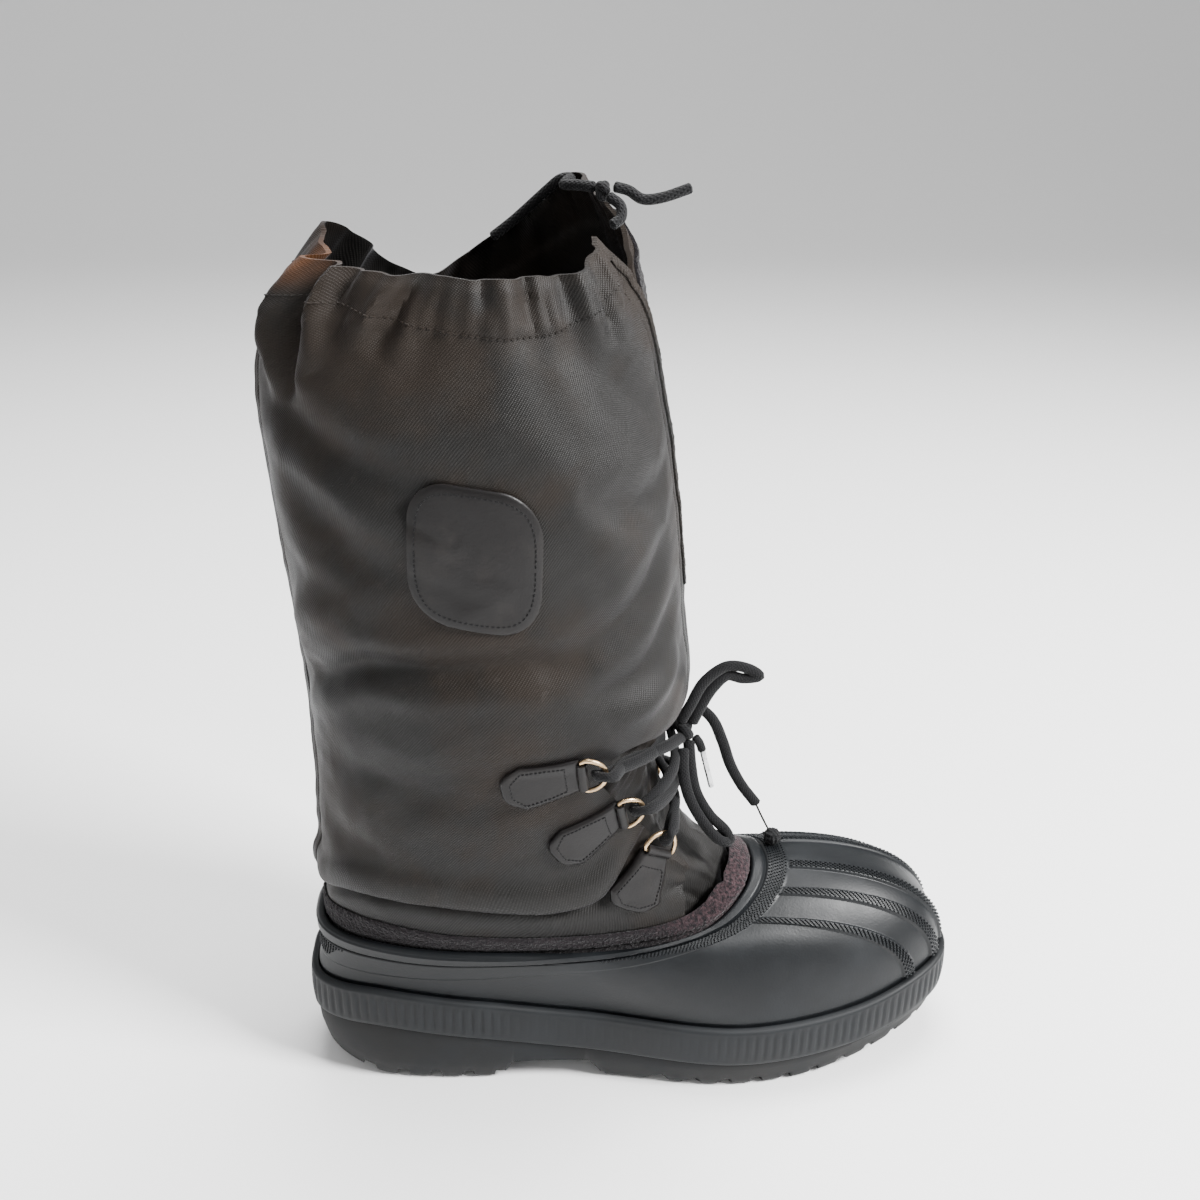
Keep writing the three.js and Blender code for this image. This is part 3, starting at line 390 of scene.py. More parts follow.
def crease_relief(turn, up):
    """Sum of the listed creases: each is minus its depth times a bell across the line, with
    a low lip on both sides, fading to both ends as a root of a sine."""
    relief = np.zeros(np.broadcast(turn, up).shape)
    for turn_a, up_a, turn_b, up_b, wide, deep, bow in CREASES:
        ax, ay = turn_a * MM_PER_TURN, up_a * MM_PER_UP
        bx, by = turn_b * MM_PER_TURN, up_b * MM_PER_UP
        length = math.hypot(bx - ax, by - ay)
        run = ((bx - ax) / length, (by - ay) / length)
        px, py = turn * MM_PER_TURN - ax, up * MM_PER_UP - ay
        t = np.clip((px * run[0] + py * run[1]) / length, 0, 1)
        away = px * -run[1] + py * run[0] - 4 * bow * t * (1 - t) * np.sign(run[0] or 1)
        away = away + 1.2 * np.sin(t * length / 9.0 + turn_a)
        beyond = np.abs((px * run[0] + py * run[1]) / length - 0.5) > 0.5
        fade = np.where(beyond, 0, np.sin(np.pi * t) ** 0.7)
        bell = np.exp(-((away / wide) ** 2))
        lips = np.exp(-(((np.abs(away) - 1.9 * wide) / wide) ** 2))
        relief = relief - deep * fade * (bell - 0.3 * lips)
    return relief


def ripples(a, b, size):
    """Smooth irregular waves from -1 to 1: four sine products at unlike angles and phases."""
    waves = [(1.0, 0.31, 0.4), (-0.62, 0.83, 1.9), (0.27, -1.13, 3.1), (1.37, 0.71, 5.2)]
    total = sum(
        np.sin((a * fa + b * fb) * 2 * np.pi / size + phase) * np.cos(b * fa / size * 4 + 2 * phase)
        for fa, fb, phase in waves
    )
    return total / len(waves)


def overhang_side(turn, up):
    """Signed distance above the overhang's line in millimetres, and its strength there."""
    line = read_round(OVERHANG, "up", turn)
    force = np.clip(read_round(OVERHANG, "force", turn), 0, 1)
    rise = rim_height(turn) - collar_height(turn)
    return (up - line) * rise + 1.2 * np.sin(np.radians(turn) * 7), force


def front_lap(turn):
    return smooth(turn, LAP["start"], LAP["end"]) * LAP["deep"]


def tab_clearing(turn, up):
    """1 away from the tabs and 0 on them, so that creases leave them their bed."""
    clear = np.ones(np.broadcast(turn, up).shape)
    for tab_turn, tab_up, _ in TABS.values():
        for middle in (tab_turn, 360 - tab_turn):
            near = np.hypot((turn - middle) * MM_PER_TURN, (up - tab_up) * MM_PER_UP)
            clear = np.minimum(clear, smooth(near, 9, 18))
    return clear


def leg_relief(turn, up):
    """How far the cloth stands off the plain leg: gathers at the rim, creases, ripples, the puff
    of the drawcord casing, the seam channels of the front edge and the lap."""
    values = sizes()
    gather = smooth(up, 0.8, 1) ** 1.5 * values["gather_high"]
    wave = np.cos(np.radians(turn * 9)) + 0.4 * np.cos(np.radians(turn * 23 + 40))
    pucker = 0.9 * (np.abs(np.cos(np.radians(turn * 31 + 9 * np.sin(up * 90)))) - 0.6)
    pucker = pucker * smooth(up, 0.925, 0.94) * (1 - 0.5 * smooth(up, 0.97, 1.0))
    casing = 0.9 * smooth(up, 0.93, 0.945) * (1 - smooth(up, 0.985, 1.0))
    creases = crease_relief(turn, up) * bpy.context.scene.boot_sizes.crease_share
    loose = 0.55 * ripples(turn * MM_PER_TURN, up * MM_PER_UP, 46)
    loose = loose + 0.3 * ripples(turn * MM_PER_TURN + 40, up * MM_PER_UP * 1.3, 21)
    clear = tab_clearing(turn, up)
    above, force = overhang_side(turn, up)
    bulge, recess = np.exp(-(((above - 5) / 5) ** 2)), np.exp(-(((above + 4.5) / 4.5) ** 2))
    fold = force * (3.6 * bulge - 4.4 * recess)
    edge = (turn - read(FLAPS, "outer_flap", up)) * 1.1
    seam = -0.55 * np.exp(-(((edge - 4) / 0.7) ** 2)) - 0.55 * np.exp(-(((edge - 8) / 0.7) ** 2))
    hem = front_blouse(turn, up)
    cloth = (creases + loose) * clear
    return wave * gather + casing + pucker + cloth + fold + seam + hem - front_lap(turn)


def front_blouse(turn, up):
    """The slack leg stands out 3.2 mm over the throat and the top tab, falling back below."""
    z = lerp(collar_height(turn), rim_height(turn), up)
    aside = np.minimum(np.mod(turn, 360), 360 - np.mod(turn, 360))
    reach = 1 - smooth(aside, 88, 128)
    bulge = 3.2 * smooth(z, 176, 190) * (1 - smooth(z, 196, 236))
    hollow = 1.2 * (1 - smooth(z, 165, 180)) * smooth(z, 150, 165)
    return reach * (bulge - hollow)


def leg_point(turn, up, thin=0.0):
    """The dressed leg: the plain leg moved out by the relief, the overhang's lip pulled down."""
    point = shaft_skin(turn, up, leg_relief(turn, up) - thin)
    above, force = overhang_side(turn, up)
    drop = force * sizes()["overhang_deep"] * np.exp(-(((above - 2.8) / 3.4) ** 2))
    scallop = 1.5 * smooth(up, 0.965, 1.0) * ripples(turn * 1.3, 30 + 0 * up, 27)
    point[..., 2] += scallop - drop
    return point


def on_nylon(turn, up, height):
    """A place that rests on the dressed leg, over its rolls and bridging its creases."""
    return shaft_skin(turn, up, height + np.maximum(leg_relief(turn, up), 0))


# Meshes


def arc_uv(points, wrap_rows, wrap_cols):
    """UV in metres: u runs with the arc of the middle row, v with the mean arc of the columns."""
    rows, cols = points.shape[:2]
    across = points[rows // 2]
    if wrap_cols:
        across = np.concatenate([across, across[:1]])
    u = np.concatenate([[0], np.cumsum(np.linalg.norm(np.diff(across, axis=0), axis=-1))])
    down = np.concatenate([points, points[:1]]) if wrap_rows else points
    v = np.concatenate([[0], np.cumsum(np.linalg.norm(np.diff(down, axis=0), axis=-1).mean(1))])
    return np.stack(np.broadcast_arrays(u[None, :], v[:, None]), -1) * MM


class Body:
    """Arrays of a mesh in the making: points in millimetres, quads, a UV for each corner and one
    named mark for each point."""

    def __init__(self):
        self.points, self.faces, self.corners, self.marks, self.count = [], [], [], [], 0

    def quads(self, index, uv):
        def corner(a):
            around = [a[:-1, :-1], a[:-1, 1:], a[1:, 1:], a[1:, :-1]]
            return np.stack(around, 2).reshape(-1, 4, *a.shape[2:])

        self.faces.append(corner(index))
        self.corners.append(corner(uv))

    def grid(self, points, wrap_rows=False, wrap_cols=False, uv=None, mark=0.0, faced=True):
        """Adds a grid of rows and columns of points and returns its index grid and UVs."""
        rows, cols = points.shape[:2]
        index = np.arange(rows * cols).reshape(rows, cols) + self.count
        uv = arc_uv(points, wrap_rows, wrap_cols) if uv is None else uv
        if wrap_cols:
            index = np.concatenate([index, index[:, :1]], 1)
        if wrap_rows:
            index = np.concatenate([index, index[:1]], 0)
        if faced:
            self.quads(index, uv)
        self.points.append(points.reshape(-1, 3))
        self.marks.append(np.broadcast_to(mark, (rows, cols)).ravel())
        self.count += rows * cols
        return index, uv

    def wall(self, outer, inner, wrap=False, mark=0.0, inner_mark=0.0):
        """A closed wall between an outer and an inner grid with the same columns."""
        out, out_uv = self.grid(outer, wrap_cols=wrap, mark=mark)
        back, back_uv = self.grid(inner, wrap_cols=wrap, mark=inner_mark, faced=False)
        self.quads(back[:, ::-1], back_uv[:, ::-1])
        self.quads(np.stack([back[0], out[0]]), np.stack([back_uv[0], out_uv[0]]))
        self.quads(np.stack([out[-1], back[-1]]), np.stack([out_uv[-1], back_uv[-1]]))
        if not wrap:
            left = [out[:, 0], back[:, 0]]
            right = [back[:, -1], out[:, -1]]
            self.quads(np.stack(left), np.stack([out_uv[:, 0], back_uv[:, 0]]))
            self.quads(np.stack(right), np.stack([back_uv[:, -1], out_uv[:, -1]]))
        return self

    def cut_wall(self, outer, inner, present, uv, mark):
        """A closed wall of the grid cells that are present, with an edge strip wherever the
        next cell is absent."""
        rows, cols = outer.shape[:2]
        out = np.arange(rows * cols).reshape(rows, cols)
        back = out + rows * cols
        around = [(0, 0), (0, 1), (1, 1), (1, 0)]

        def corner(grid, step):
            return grid[step[0] : rows - 1 + step[0], step[1] : cols - 1 + step[1]]

        quads = [np.stack([corner(out, step)[present] for step in around], 1)]
        quads.append(np.stack([corner(back, step)[present] for step in around[::-1]], 1))
        padded = np.pad(present, 1)
        beyond = [padded[:-2, 1:-1], padded[1:-1, 2:], padded[2:, 1:-1], padded[1:-1, :-2]]
        for k, absent in enumerate(beyond):
            edge = present & ~absent
            first, second = around[k], around[(k + 1) % 4]
            strip = [corner(out, second), corner(out, first), corner(back, first), corner(back, second)]
            quads.append(np.stack([part[edge] for part in strip], 1))
        faces = np.concatenate(quads)
        used, faces = np.unique(faces, return_inverse=True)
        faces = faces.reshape(-1, 4)
        points = np.concatenate([outer.reshape(-1, 3), inner.reshape(-1, 3)])[used]
        flat_uv = np.concatenate([uv.reshape(-1, 2)] * 2)[used]
        self.faces.append(faces + self.count)
        self.corners.append(flat_uv[faces])
        self.points.append(points)
        self.marks.append(np.concatenate([mark.ravel()] * 2)[used])
        self.count += len(points)
        return self

    def piece(self, name, material, slot, replaces=(), merge=False, sharp=38):
        """Makes the mesh object with its faces outwards, on the frame's body."""
        points = np.concatenate(self.points)
        faces, corners = np.concatenate(self.faces), np.concatenate(self.corners)
        a, b, c, d = (points[faces[:, k]] for k in range(4))
        if (np.cross(b, c) * a).sum() + (np.cross(c, d) * a).sum() < 0:
            faces, corners = faces[:, ::-1], corners[:, ::-1]
        mesh = bpy.data.meshes.new(name)
        mesh.from_pydata((points * MM).tolist(), [], faces.tolist())
        layer = mesh.uv_layers.new(name="UVMap")
        layer.uv.foreach_set("vector", corners.astype(np.float32).ravel())
        mark = mesh.attributes.new("mark", "FLOAT", "POINT")
        mark.data.foreach_set("value", np.concatenate(self.marks).astype(np.float32))
        if merge:
            merge_points(mesh)
        finish_mesh(mesh, sharp)
        return place(name, mesh, material, replaces)


def merge_points(mesh):
    """Joins points that coincide, which closes poles."""
    import bmesh

    work = bmesh.new()
    work.from_mesh(mesh)
    bmesh.ops.remove_doubles(work, verts=work.verts, dist=2e-6)
    bmesh.ops.recalc_face_normals(work, faces=work.faces)
    work.to_mesh(mesh)
    work.free()


def finish_mesh(mesh, sharp):
    mesh.update()
    mesh.polygons.foreach_set("use_smooth", np.ones(len(mesh.polygons), bool))
    mesh.set_sharp_from_angle(angle=math.radians(sharp))


def place(name, mesh, material, replaces=()):
    """Links the mesh as a piece that rides on the boot."""
    obj = bpy.data.objects.new(name, mesh)
    bpy.context.scene.collection.objects.link(obj)
    mesh.materials.append(material)
    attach(obj, "root")
    if replaces:
        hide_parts(*replaces)
    return obj


def grid_normals(points, wrap):
    """Unit normals of a grid: cross product of central differences."""
    wide = np.concatenate([points[:, -1:], points, points[:, :1]], 1) if wrap else points
    aside = np.gradient(wide, axis=1)
    if wrap:
        aside = aside[:, 1:-1]
    normal = np.cross(np.gradient(points, axis=0), aside)
    normal = normal / np.maximum(np.linalg.norm(normal, axis=-1, keepdims=True), 1e-9)
    return normal


def spline(points, step):
    """Catmull-Rom curve through points, resampled evenly about every `step` millimetres."""
    p = np.array(points, float)
    p = np.concatenate([[2 * p[0] - p[1]], p, [2 * p[-1] - p[-2]]])
    t = np.linspace(0, 1, 24, endpoint=False)[None, :, None]
    a, b, c, d = (p[k : len(p) - 3 + k][:, None, :] for k in range(4))
    square, cube = 2 * a - 5 * b + 4 * c - d, 3 * b - a - 3 * c + d
    fine = 0.5 * (2 * b + (c - a) * t + square * t**2 + cube * t**3)
    fine = np.concatenate([fine.reshape(-1, 3), p[-2:-1]])
    arc = np.concatenate([[0], np.cumsum(np.linalg.norm(np.diff(fine, axis=0), axis=1))])
    count = max(4, int(round(arc[-1] / step)))
    even = np.linspace(0, arc[-1], count + 1)
    return np.stack([np.interp(even, arc, fine[:, k]) for k in range(3)], 1)


def tube(body, line, wide, flat=1.0, sides=14, across=None, closed=False, ends=True):
    """A cord: a ring of `sides` points carried along a line, `flat` times as thick as wide, with
    rounded ends. The ring's wide axis is square to the line and to `across`."""
    run = np.gradient(line, axis=0) if not closed else np.roll(line, -1, 0) - np.roll(line, 1, 0)
    run = run / np.linalg.norm(run, axis=1, keepdims=True)
    across = np.array([0.13, 0.97, 0.21]) if across is None else np.asarray(across, float)
    thin = across - (run * across).sum(1, keepdims=True) * run
    thin = thin / np.linalg.norm(thin, axis=1, keepdims=True)
    broad = np.cross(run, thin)
    angle = np.linspace(0, 2 * np.pi, sides, endpoint=False)
    half = wide / 2
    ring = np.cos(angle)[None, :, None] * broad[:, None] * half
    ring = ring + np.sin(angle)[None, :, None] * thin[:, None] * half * flat
    centres = line[:, None, :]
    arc = np.concatenate([[0], np.cumsum(np.linalg.norm(np.diff(line, axis=0), axis=1))])
    scale = np.ones(len(line))
    if ends and not closed:
        bulge = half * 0.45
        first = np.stack([line[0] - run[0] * bulge * d for d in (1.0, 0.6)])
        last = np.stack([line[-1] + run[-1] * bulge * d for d in (0.6, 1.0)])
        centres = np.concatenate([first, line, last])[:, None, :]
        ring = np.concatenate([ring[:1], ring[:1], ring, ring[-1:], ring[-1:]])
        scale = np.concatenate([[0.0, 0.75], scale, [0.75, 0.0]])
        arc = np.concatenate([[-bulge, -bulge / 2], arc, [arc[-1] + bulge / 2, arc[-1] + bulge]])
    points = centres + ring * scale[:, None, None]
    turns = np.linspace(0, 1, sides + 1)
    uv = np.stack(np.broadcast_arrays(turns[None, :], (arc * MM)[:, None]), -1)
    if closed:
        uv = np.concatenate([uv, uv[:1]])
    body.grid(points, wrap_cols=True, wrap_rows=closed, uv=uv)
    return body


def seeds(points, runs, outs, long, wide, high, body):
    """Small closed blocks, such as stitches: each tapers to its top, laid at a point along a
    direction and standing out by `high`."""
    runs = runs / np.linalg.norm(runs, axis=1, keepdims=True)
    aside = np.cross(outs, runs)
    aside = aside / np.linalg.norm(aside, axis=1, keepdims=True)
    low = np.array([(-0.5, 0.3), (-0.5, -0.3), (0.5, -0.3), (0.5, 0.3)])
    local = np.concatenate([np.c_[low * [1, 1.6], np.full(4, -0.3)], np.c_[low * [0.6, 1.0], np.ones(4)]])
    local = local * [long, wide, high]
    made = (
        points[:, None]
        + local[None, :, 0, None] * runs[:, None]
        + local[None, :, 1, None] * aside[:, None]
        + local[None, :, 2, None] * outs[:, None]
    )
    return add_blocks(body, made)


def add_blocks(body, points, mark=0.0):
    """Adds many small closed blocks, each of four low and four high corners in the same order."""
    faces = np.array([(3, 2, 1, 0), (4, 5, 6, 7), (0, 1, 5, 4), (1, 2, 6, 5), (2, 3, 7, 6), (3, 0, 4, 7)])
    index = faces[None] + 8 * np.arange(len(points))[:, None, None] + body.count
    body.faces.append(index.reshape(-1, 4))
    body.corners.append(np.zeros((len(points) * 6, 4, 2)))
    body.points.append(points.reshape(-1, 3))
    body.marks.append(np.full(len(points) * 8, mark))
    body.count += len(points) * 8
    return body


def even_along(line, pitch):
    """Indices that pick points of a dense line about every `pitch` millimetres."""
    arc = np.concatenate([[0], np.cumsum(np.linalg.norm(np.diff(line, axis=0), axis=1))])
    wanted = np.arange(pitch / 2, arc[-1], pitch)
    return np.clip(np.searchsorted(arc, wanted), 1, len(line) - 2)


def stitch_line(body, line, outs, pitch, long=1.7, wide=0.55, high=0.35):
    """Stitches along a dense line: every `pitch` a lozenge in the line's own direction."""
    at = even_along(line, pitch)
    return seeds(line[at], line[at + 1] - line[at - 1], outs[at], long, wide, high, body)


# Materials


def make(tree, kind, values=None, **settings):
    """Adds a node, with its settings, and links or sets the inputs that `values` names."""
    node = tree.nodes.new(kind)
    for key, value in settings.items():
        setattr(node, key, value)
    for key, value in (values or {}).items():
        if isinstance(value, bpy.types.NodeSocket):
            tree.links.new(value, node.inputs[key])
        else:
            node.inputs[key].default_value = value
    return node


def math_node(tree, operation, a, b=0.5, c=0.5):
    return make(tree, "ShaderNodeMath", {0: a, 1: b, 2: c}, operation=operation).outputs[0]


def blend(tree, share, a, b):
    """Colour a where share is 0 and b where it is 1."""
    node = make(tree, "ShaderNodeMix", {0: share, 6: a, 7: b}, data_type="RGBA")
    return node.outputs[2]


def group(name, inputs, outputs, build):
    """A node group with named sockets, built once. build(tree, inputs) returns its outputs."""
    if name in bpy.data.node_groups:
        return bpy.data.node_groups[name]
    tree = bpy.data.node_groups.new(name, "ShaderNodeTree")
    for key, (kind, value) in inputs.items():
        socket = tree.interface.new_socket(key, in_out="INPUT", socket_type=kind)
        if value is not None:
            socket.default_value = value
    for key in outputs:
        tree.interface.new_socket(key, in_out="OUTPUT", socket_type="NodeSocketFloat")
    entry, end = tree.nodes.new("NodeGroupInput"), tree.nodes.new("NodeGroupOutput")
    for key, value in build(tree, entry.outputs).items():
        tree.links.new(value, end.inputs[key])
    return tree


def use(tree, made, values):
    node = tree.nodes.new("ShaderNodeGroup")
    node.node_tree = made
    for key, value in values.items():
        if isinstance(value, bpy.types.NodeSocket):
            tree.links.new(value, node.inputs[key])
        else:
            node.inputs[key].default_value = value
    return node.outputs


FLOAT, VECTOR = "NodeSocketFloat", "NodeSocketVector"


def mottle():
    """Cloudy mask: noise stretched between two levels."""

    def build(tree, given):
        noise = make(tree, "ShaderNodeTexNoise", {
            "Vector": given["Vector"], "Scale": given["Scale"], "Detail": given["Detail"],
            "Roughness": 0.6,
        })
        ramp = make(tree, "ShaderNodeMapRange", {
            "Value": noise.outputs[0], "From Min": given["Low"], "From Max": given["High"],
        }, interpolation_type="SMOOTHSTEP")
        return {"Mask": ramp.outputs[0]}

    inputs = {"Vector": (VECTOR, None), "Scale": (FLOAT, 40.0), "Detail": (FLOAT, 4.0),
              "Low": (FLOAT, 0.4), "High": (FLOAT, 0.65)}
    return group("Mottle", inputs, ["Mask"], build)


def twill():
    """Diagonal cloth ribs: sine of the UV along a diagonal, broken up by a cross thread."""

    def build(tree, given):
        def line(direction, share):
            dot = make(tree, "ShaderNodeVectorMath", {0: given["Vector"], 1: direction},
                       operation="DOT_PRODUCT")
            turns = math_node(tree, "DIVIDE", dot.outputs["Value"], given["Pitch"])
            wave = math_node(tree, "SINE", math_node(tree, "MULTIPLY", turns, 2 * math.pi))
            return math_node(tree, "MULTIPLY_ADD", wave, share, 0.5)

        rib, thread = line((0.8, 0.6, 0), 0.5), line((-0.5, 1.2, 0), 0.3)
        return {"Height": math_node(tree, "MULTIPLY", rib, thread)}

    return group("Twill", {"Vector": (VECTOR, None), "Pitch": (FLOAT, 0.0009)}, ["Height"], build)


def braid():
    """Braided cord: two families of helices over the cord's UV, the higher one showing."""

    def build(tree, given):
        split = make(tree, "ShaderNodeSeparateXYZ", {0: given["Vector"]})
        around = math_node(tree, "MULTIPLY", split.outputs[0], given["Strands"])
        along = math_node(tree, "DIVIDE", split.outputs[1], given["Pitch"])

        def helix(operation):
            turns = math_node(tree, operation, around, along)
            wave = math_node(tree, "SINE", math_node(tree, "MULTIPLY", turns, 2 * math.pi))
            return math_node(tree, "ABSOLUTE", wave)

        return {"Height": math_node(tree, "MAXIMUM", helix("ADD"), helix("SUBTRACT"))}

    inputs = {"Vector": (VECTOR, None), "Strands": (FLOAT, 4.0), "Pitch": (FLOAT, 0.004)}
    return group("Braid", inputs, ["Height"], build)


def grain():
    """Leather grain: cells of a Voronoi pattern softened by noise."""

    def build(tree, given):
        cells = make(tree, "ShaderNodeTexVoronoi", {"Vector": given["Vector"], "Scale": given["Scale"]})
        noise = make(tree, "ShaderNodeTexNoise", {
            "Vector": given["Vector"], "Scale": math_node(tree, "MULTIPLY", given["Scale"], 0.4),
            "Detail": 5.0,
        })
        height = math_node(tree, "MULTIPLY_ADD", cells.outputs["Distance"], 0.6, noise.outputs[0])
        return {"Height": height}

    return group("Grain", {"Vector": (VECTOR, None), "Scale": (FLOAT, 900.0)}, ["Height"], build)


def new_material(name, **sockets):
    """A material with a Principled shader whose plain sockets are set; returns both."""
    material = bpy.data.materials.new(name)
    material.use_nodes = True
    tree = material.node_tree
    shader = next(n for n in tree.nodes if n.type == "BSDF_PRINCIPLED")
    for key, value in sockets.items():
        shader.inputs[key.replace("_", " ").title()].default_value = value
    return material, tree, shader


def bump(tree, shader, height, distance, strength=1.0):
    node = make(tree, "ShaderNodeBump", {
        "Height": height, "Distance": distance, "Strength": strength,
    })
    tree.links.new(node.outputs[0], shader.inputs["Normal"])


def places(tree):
    """Object coordinates and UV of the piece."""
    node = tree.nodes.new("ShaderNodeTexCoord")
    return node.outputs["Object"], node.outputs["UV"]


def mark_of(tree):
    return make(tree, "ShaderNodeAttribute", attribute_name="mark").outputs["Fac"]


def nylon_material():
    """Worn nylon: charcoal twill with brown casts and pale rubbed spots, a satin sheen, and a
    rubbed brown where the mark is high."""
    material, tree, shader = new_material("worn_nylon", roughness=0.5)
    shader.inputs["Specular IOR Level"].default_value = 0.16
    shader.inputs["Sheen Weight"].default_value = 0.07
    shader.inputs["Sheen Roughness"].default_value = 0.35
    shader.inputs["Sheen Tint"].default_value = (0.75, 0.74, 0.8, 1)
    where, uv = places(tree)
    casts = use(tree, mottle(), {"Vector": where, "Scale": 14.0, "Low": 0.42, "High": 0.62})[0]
    specks = use(tree, mottle(), {"Vector": where, "Scale": 160.0, "Low": 0.62, "High": 0.8})[0]
    base = blend(tree, casts, colour("nylon"), colour("nylon_worn"))
    base = blend(tree, math_node(tree, "MULTIPLY", specks, 0.35), base, (0.035, 0.03, 0.027, 1))
    base = blend(tree, mark_of(tree), base, colour("nylon_rim"))
    ribs = use(tree, twill(), {"Vector": uv, "Pitch": 0.0009})[0]
    shade = math_node(tree, "MULTIPLY_ADD", ribs, 0.3, 0.82)
    tree.links.new(
        make(tree, "ShaderNodeMix", {0: 1.0, 6: base, 7: shade}, data_type="RGBA",
             blend_type="MULTIPLY").outputs[2],
        shader.inputs["Base Color"],
    )
    rough = math_node(tree, "MULTIPLY_ADD", casts, 0.12, 0.44)
    tree.links.new(rough, shader.inputs["Roughness"])
    small = make(tree, "ShaderNodeTexNoise", {"Vector": where, "Scale": 75.0, "Detail": 3.0})
    height = math_node(tree, "MULTIPLY_ADD", small.outputs[0], 2.5, ribs)
    bump(tree, shader, height, 0.00022, 0.8)
    return material


def rubber_material(name, base_name, rough, dust_share, fine=900.0):
    """Moulded rubber: blue-black with a cloudy grey bloom, dust specks and faint scuffs."""
    material, tree, shader = new_material(name, roughness=rough)
    shader.inputs["Specular IOR Level"].default_value = 0.24
    where, _ = places(tree)
    bloom = use(tree, mottle(), {"Vector": where, "Scale": 22.0, "Low": 0.4, "High": 0.72})[0]
    stretched = make(tree, "ShaderNodeMapping", {"Vector": where, "Scale": (0.25, 1.2, 1.6)})
    scuffs = use(tree, mottle(), {
        "Vector": stretched.outputs[0], "Scale": 240.0, "Low": 0.64, "High": 0.74, "Detail": 2.0,
    })[0]
    specks = use(tree, mottle(), {"Vector": where, "Scale": 700.0, "Low": 0.66, "High": 0.72})[0]
    dusty = math_node(tree, "MULTIPLY", bloom, dust_share)
    dusty = math_node(tree, "MULTIPLY_ADD", scuffs, 0.25 * dust_share, dusty)
    dusty = math_node(tree, "MULTIPLY_ADD", specks, 0.5 * dust_share, dusty)
    worn = math_node(tree, "MAXIMUM", dusty, mark_of(tree))
    shade = blend(tree, worn, colour(base_name), colour("rubber_dust"))
    tree.links.new(shade, shader.inputs["Base Color"])
    tree.links.new(math_node(tree, "MULTIPLY_ADD", worn, 0.35, rough), shader.inputs["Roughness"])
    noise = make(tree, "ShaderNodeTexNoise", {"Vector": where, "Scale": fine, "Detail": 4.0})
    soft = make(tree, "ShaderNodeTexNoise", {"Vector": where, "Scale": 60.0, "Detail": 2.0})
    height = math_node(tree, "MULTIPLY_ADD", soft.outputs[0], 3.0, noise.outputs[0])
    bump(tree, shader, height, 0.00008, 0.7)
    return material


def leather_material():
    """Black leather: fine grain, greyed where it is rubbed, and greyed where the mark is high, which on the
    badge is a painted highlight along its side edges.
    """
    material, tree, shader = new_material("black_leather", roughness=0.42)
    shader.inputs["Specular IOR Level"].default_value = 0.22
    where, _ = places(tree)
    rubbed = use(tree, mottle(), {"Vector": where, "Scale": 60.0, "Low": 0.5, "High": 0.75})[0]
    # The mark joins the rubbed grey; on the badge it is a painted highlight along the side edges
    rubbed = math_node(tree, "MAXIMUM", math_node(tree, "MULTIPLY", rubbed, 0.5), mark_of(tree))
    shade = blend(tree, rubbed, colour("leather"), (0.014, 0.012, 0.011, 1))
    tree.links.new(shade, shader.inputs["Base Color"])
    tree.links.new(math_node(tree, "MULTIPLY_ADD", rubbed, 0.2, 0.38), shader.inputs["Roughness"])
    height = use(tree, grain(), {"Vector": where, "Scale": 1100.0})[0]
    bump(tree, shader, height, 0.00012, 0.6)
    return material


def lace_material(name, strands, pitch, depth):
    """Black braid, a little greyer on the raised strands."""
    material, tree, shader = new_material(name, roughness=0.75)
    shader.inputs["Specular IOR Level"].default_value = 0.15
    shader.inputs["Sheen Weight"].default_value = 0.06
    _, uv = places(tree)
    height = use(tree, braid(), {"Vector": uv, "Strands": strands, "Pitch": pitch})[0]
    raised = math_node(tree, "MULTIPLY", height, 0.5)
    raised = math_node(tree, "MAXIMUM", raised, mark_of(tree))
    shade = blend(tree, raised, colour("lace"), (0.008, 0.008, 0.009, 1))
    tree.links.new(shade, shader.inputs["Base Color"])
    bump(tree, shader, height, depth, 1.0)
    return material


def metal_material(name, base, rough):
    """Plated wire: fine scratches and cloudy tarnish in its roughness."""
    material, tree, shader = new_material(name, metallic=1.0, roughness=rough)
    where, _ = places(tree)
    clouds = use(tree, mottle(), {"Vector": where, "Scale": 300.0, "Low": 0.4, "High": 0.7})[0]
    dark = tuple(c * 0.55 for c in base[:3]) + (1.0,)
    shade = blend(tree, math_node(tree, "MULTIPLY", clouds, 0.6), base, dark)
    tree.links.new(shade, shader.inputs["Base Color"])
    tree.links.new(math_node(tree, "MULTIPLY_ADD", clouds, 0.25, rough), shader.inputs["Roughness"])
    noise = make(tree, "ShaderNodeTexNoise", {"Vector": where, "Scale": 2500.0})
    bump(tree, shader, noise.outputs[0], 0.00003, 0.5)
    return material


def pile_material(name, first, second, scale, depth):
    """Fuzzy pile or felt: clumped fibres in two tones, the second shown only as far as the mark reaches; on
    the fleece band a low mark, round its sides and back, is painted shade.
    """
    material, tree, shader = new_material(name, roughness=0.95)
    shader.inputs["Specular IOR Level"].default_value = 0.1
    shader.inputs["Sheen Weight"].default_value = 0.12
    where, _ = places(tree)
    clumps = make(tree, "ShaderNodeTexNoise", {"Vector": where, "Scale": scale, "Detail": 6.0})
    tone = use(tree, mottle(), {"Vector": where, "Scale": scale * 0.7, "Low": 0.35, "High": 0.7})[0]
    shown = math_node(tree, "MULTIPLY", tone, mark_of(tree))
    tree.links.new(blend(tree, shown, first, second), shader.inputs["Base Color"])
    bump(tree, shader, clumps.outputs[0], depth, 1.0)
    return material


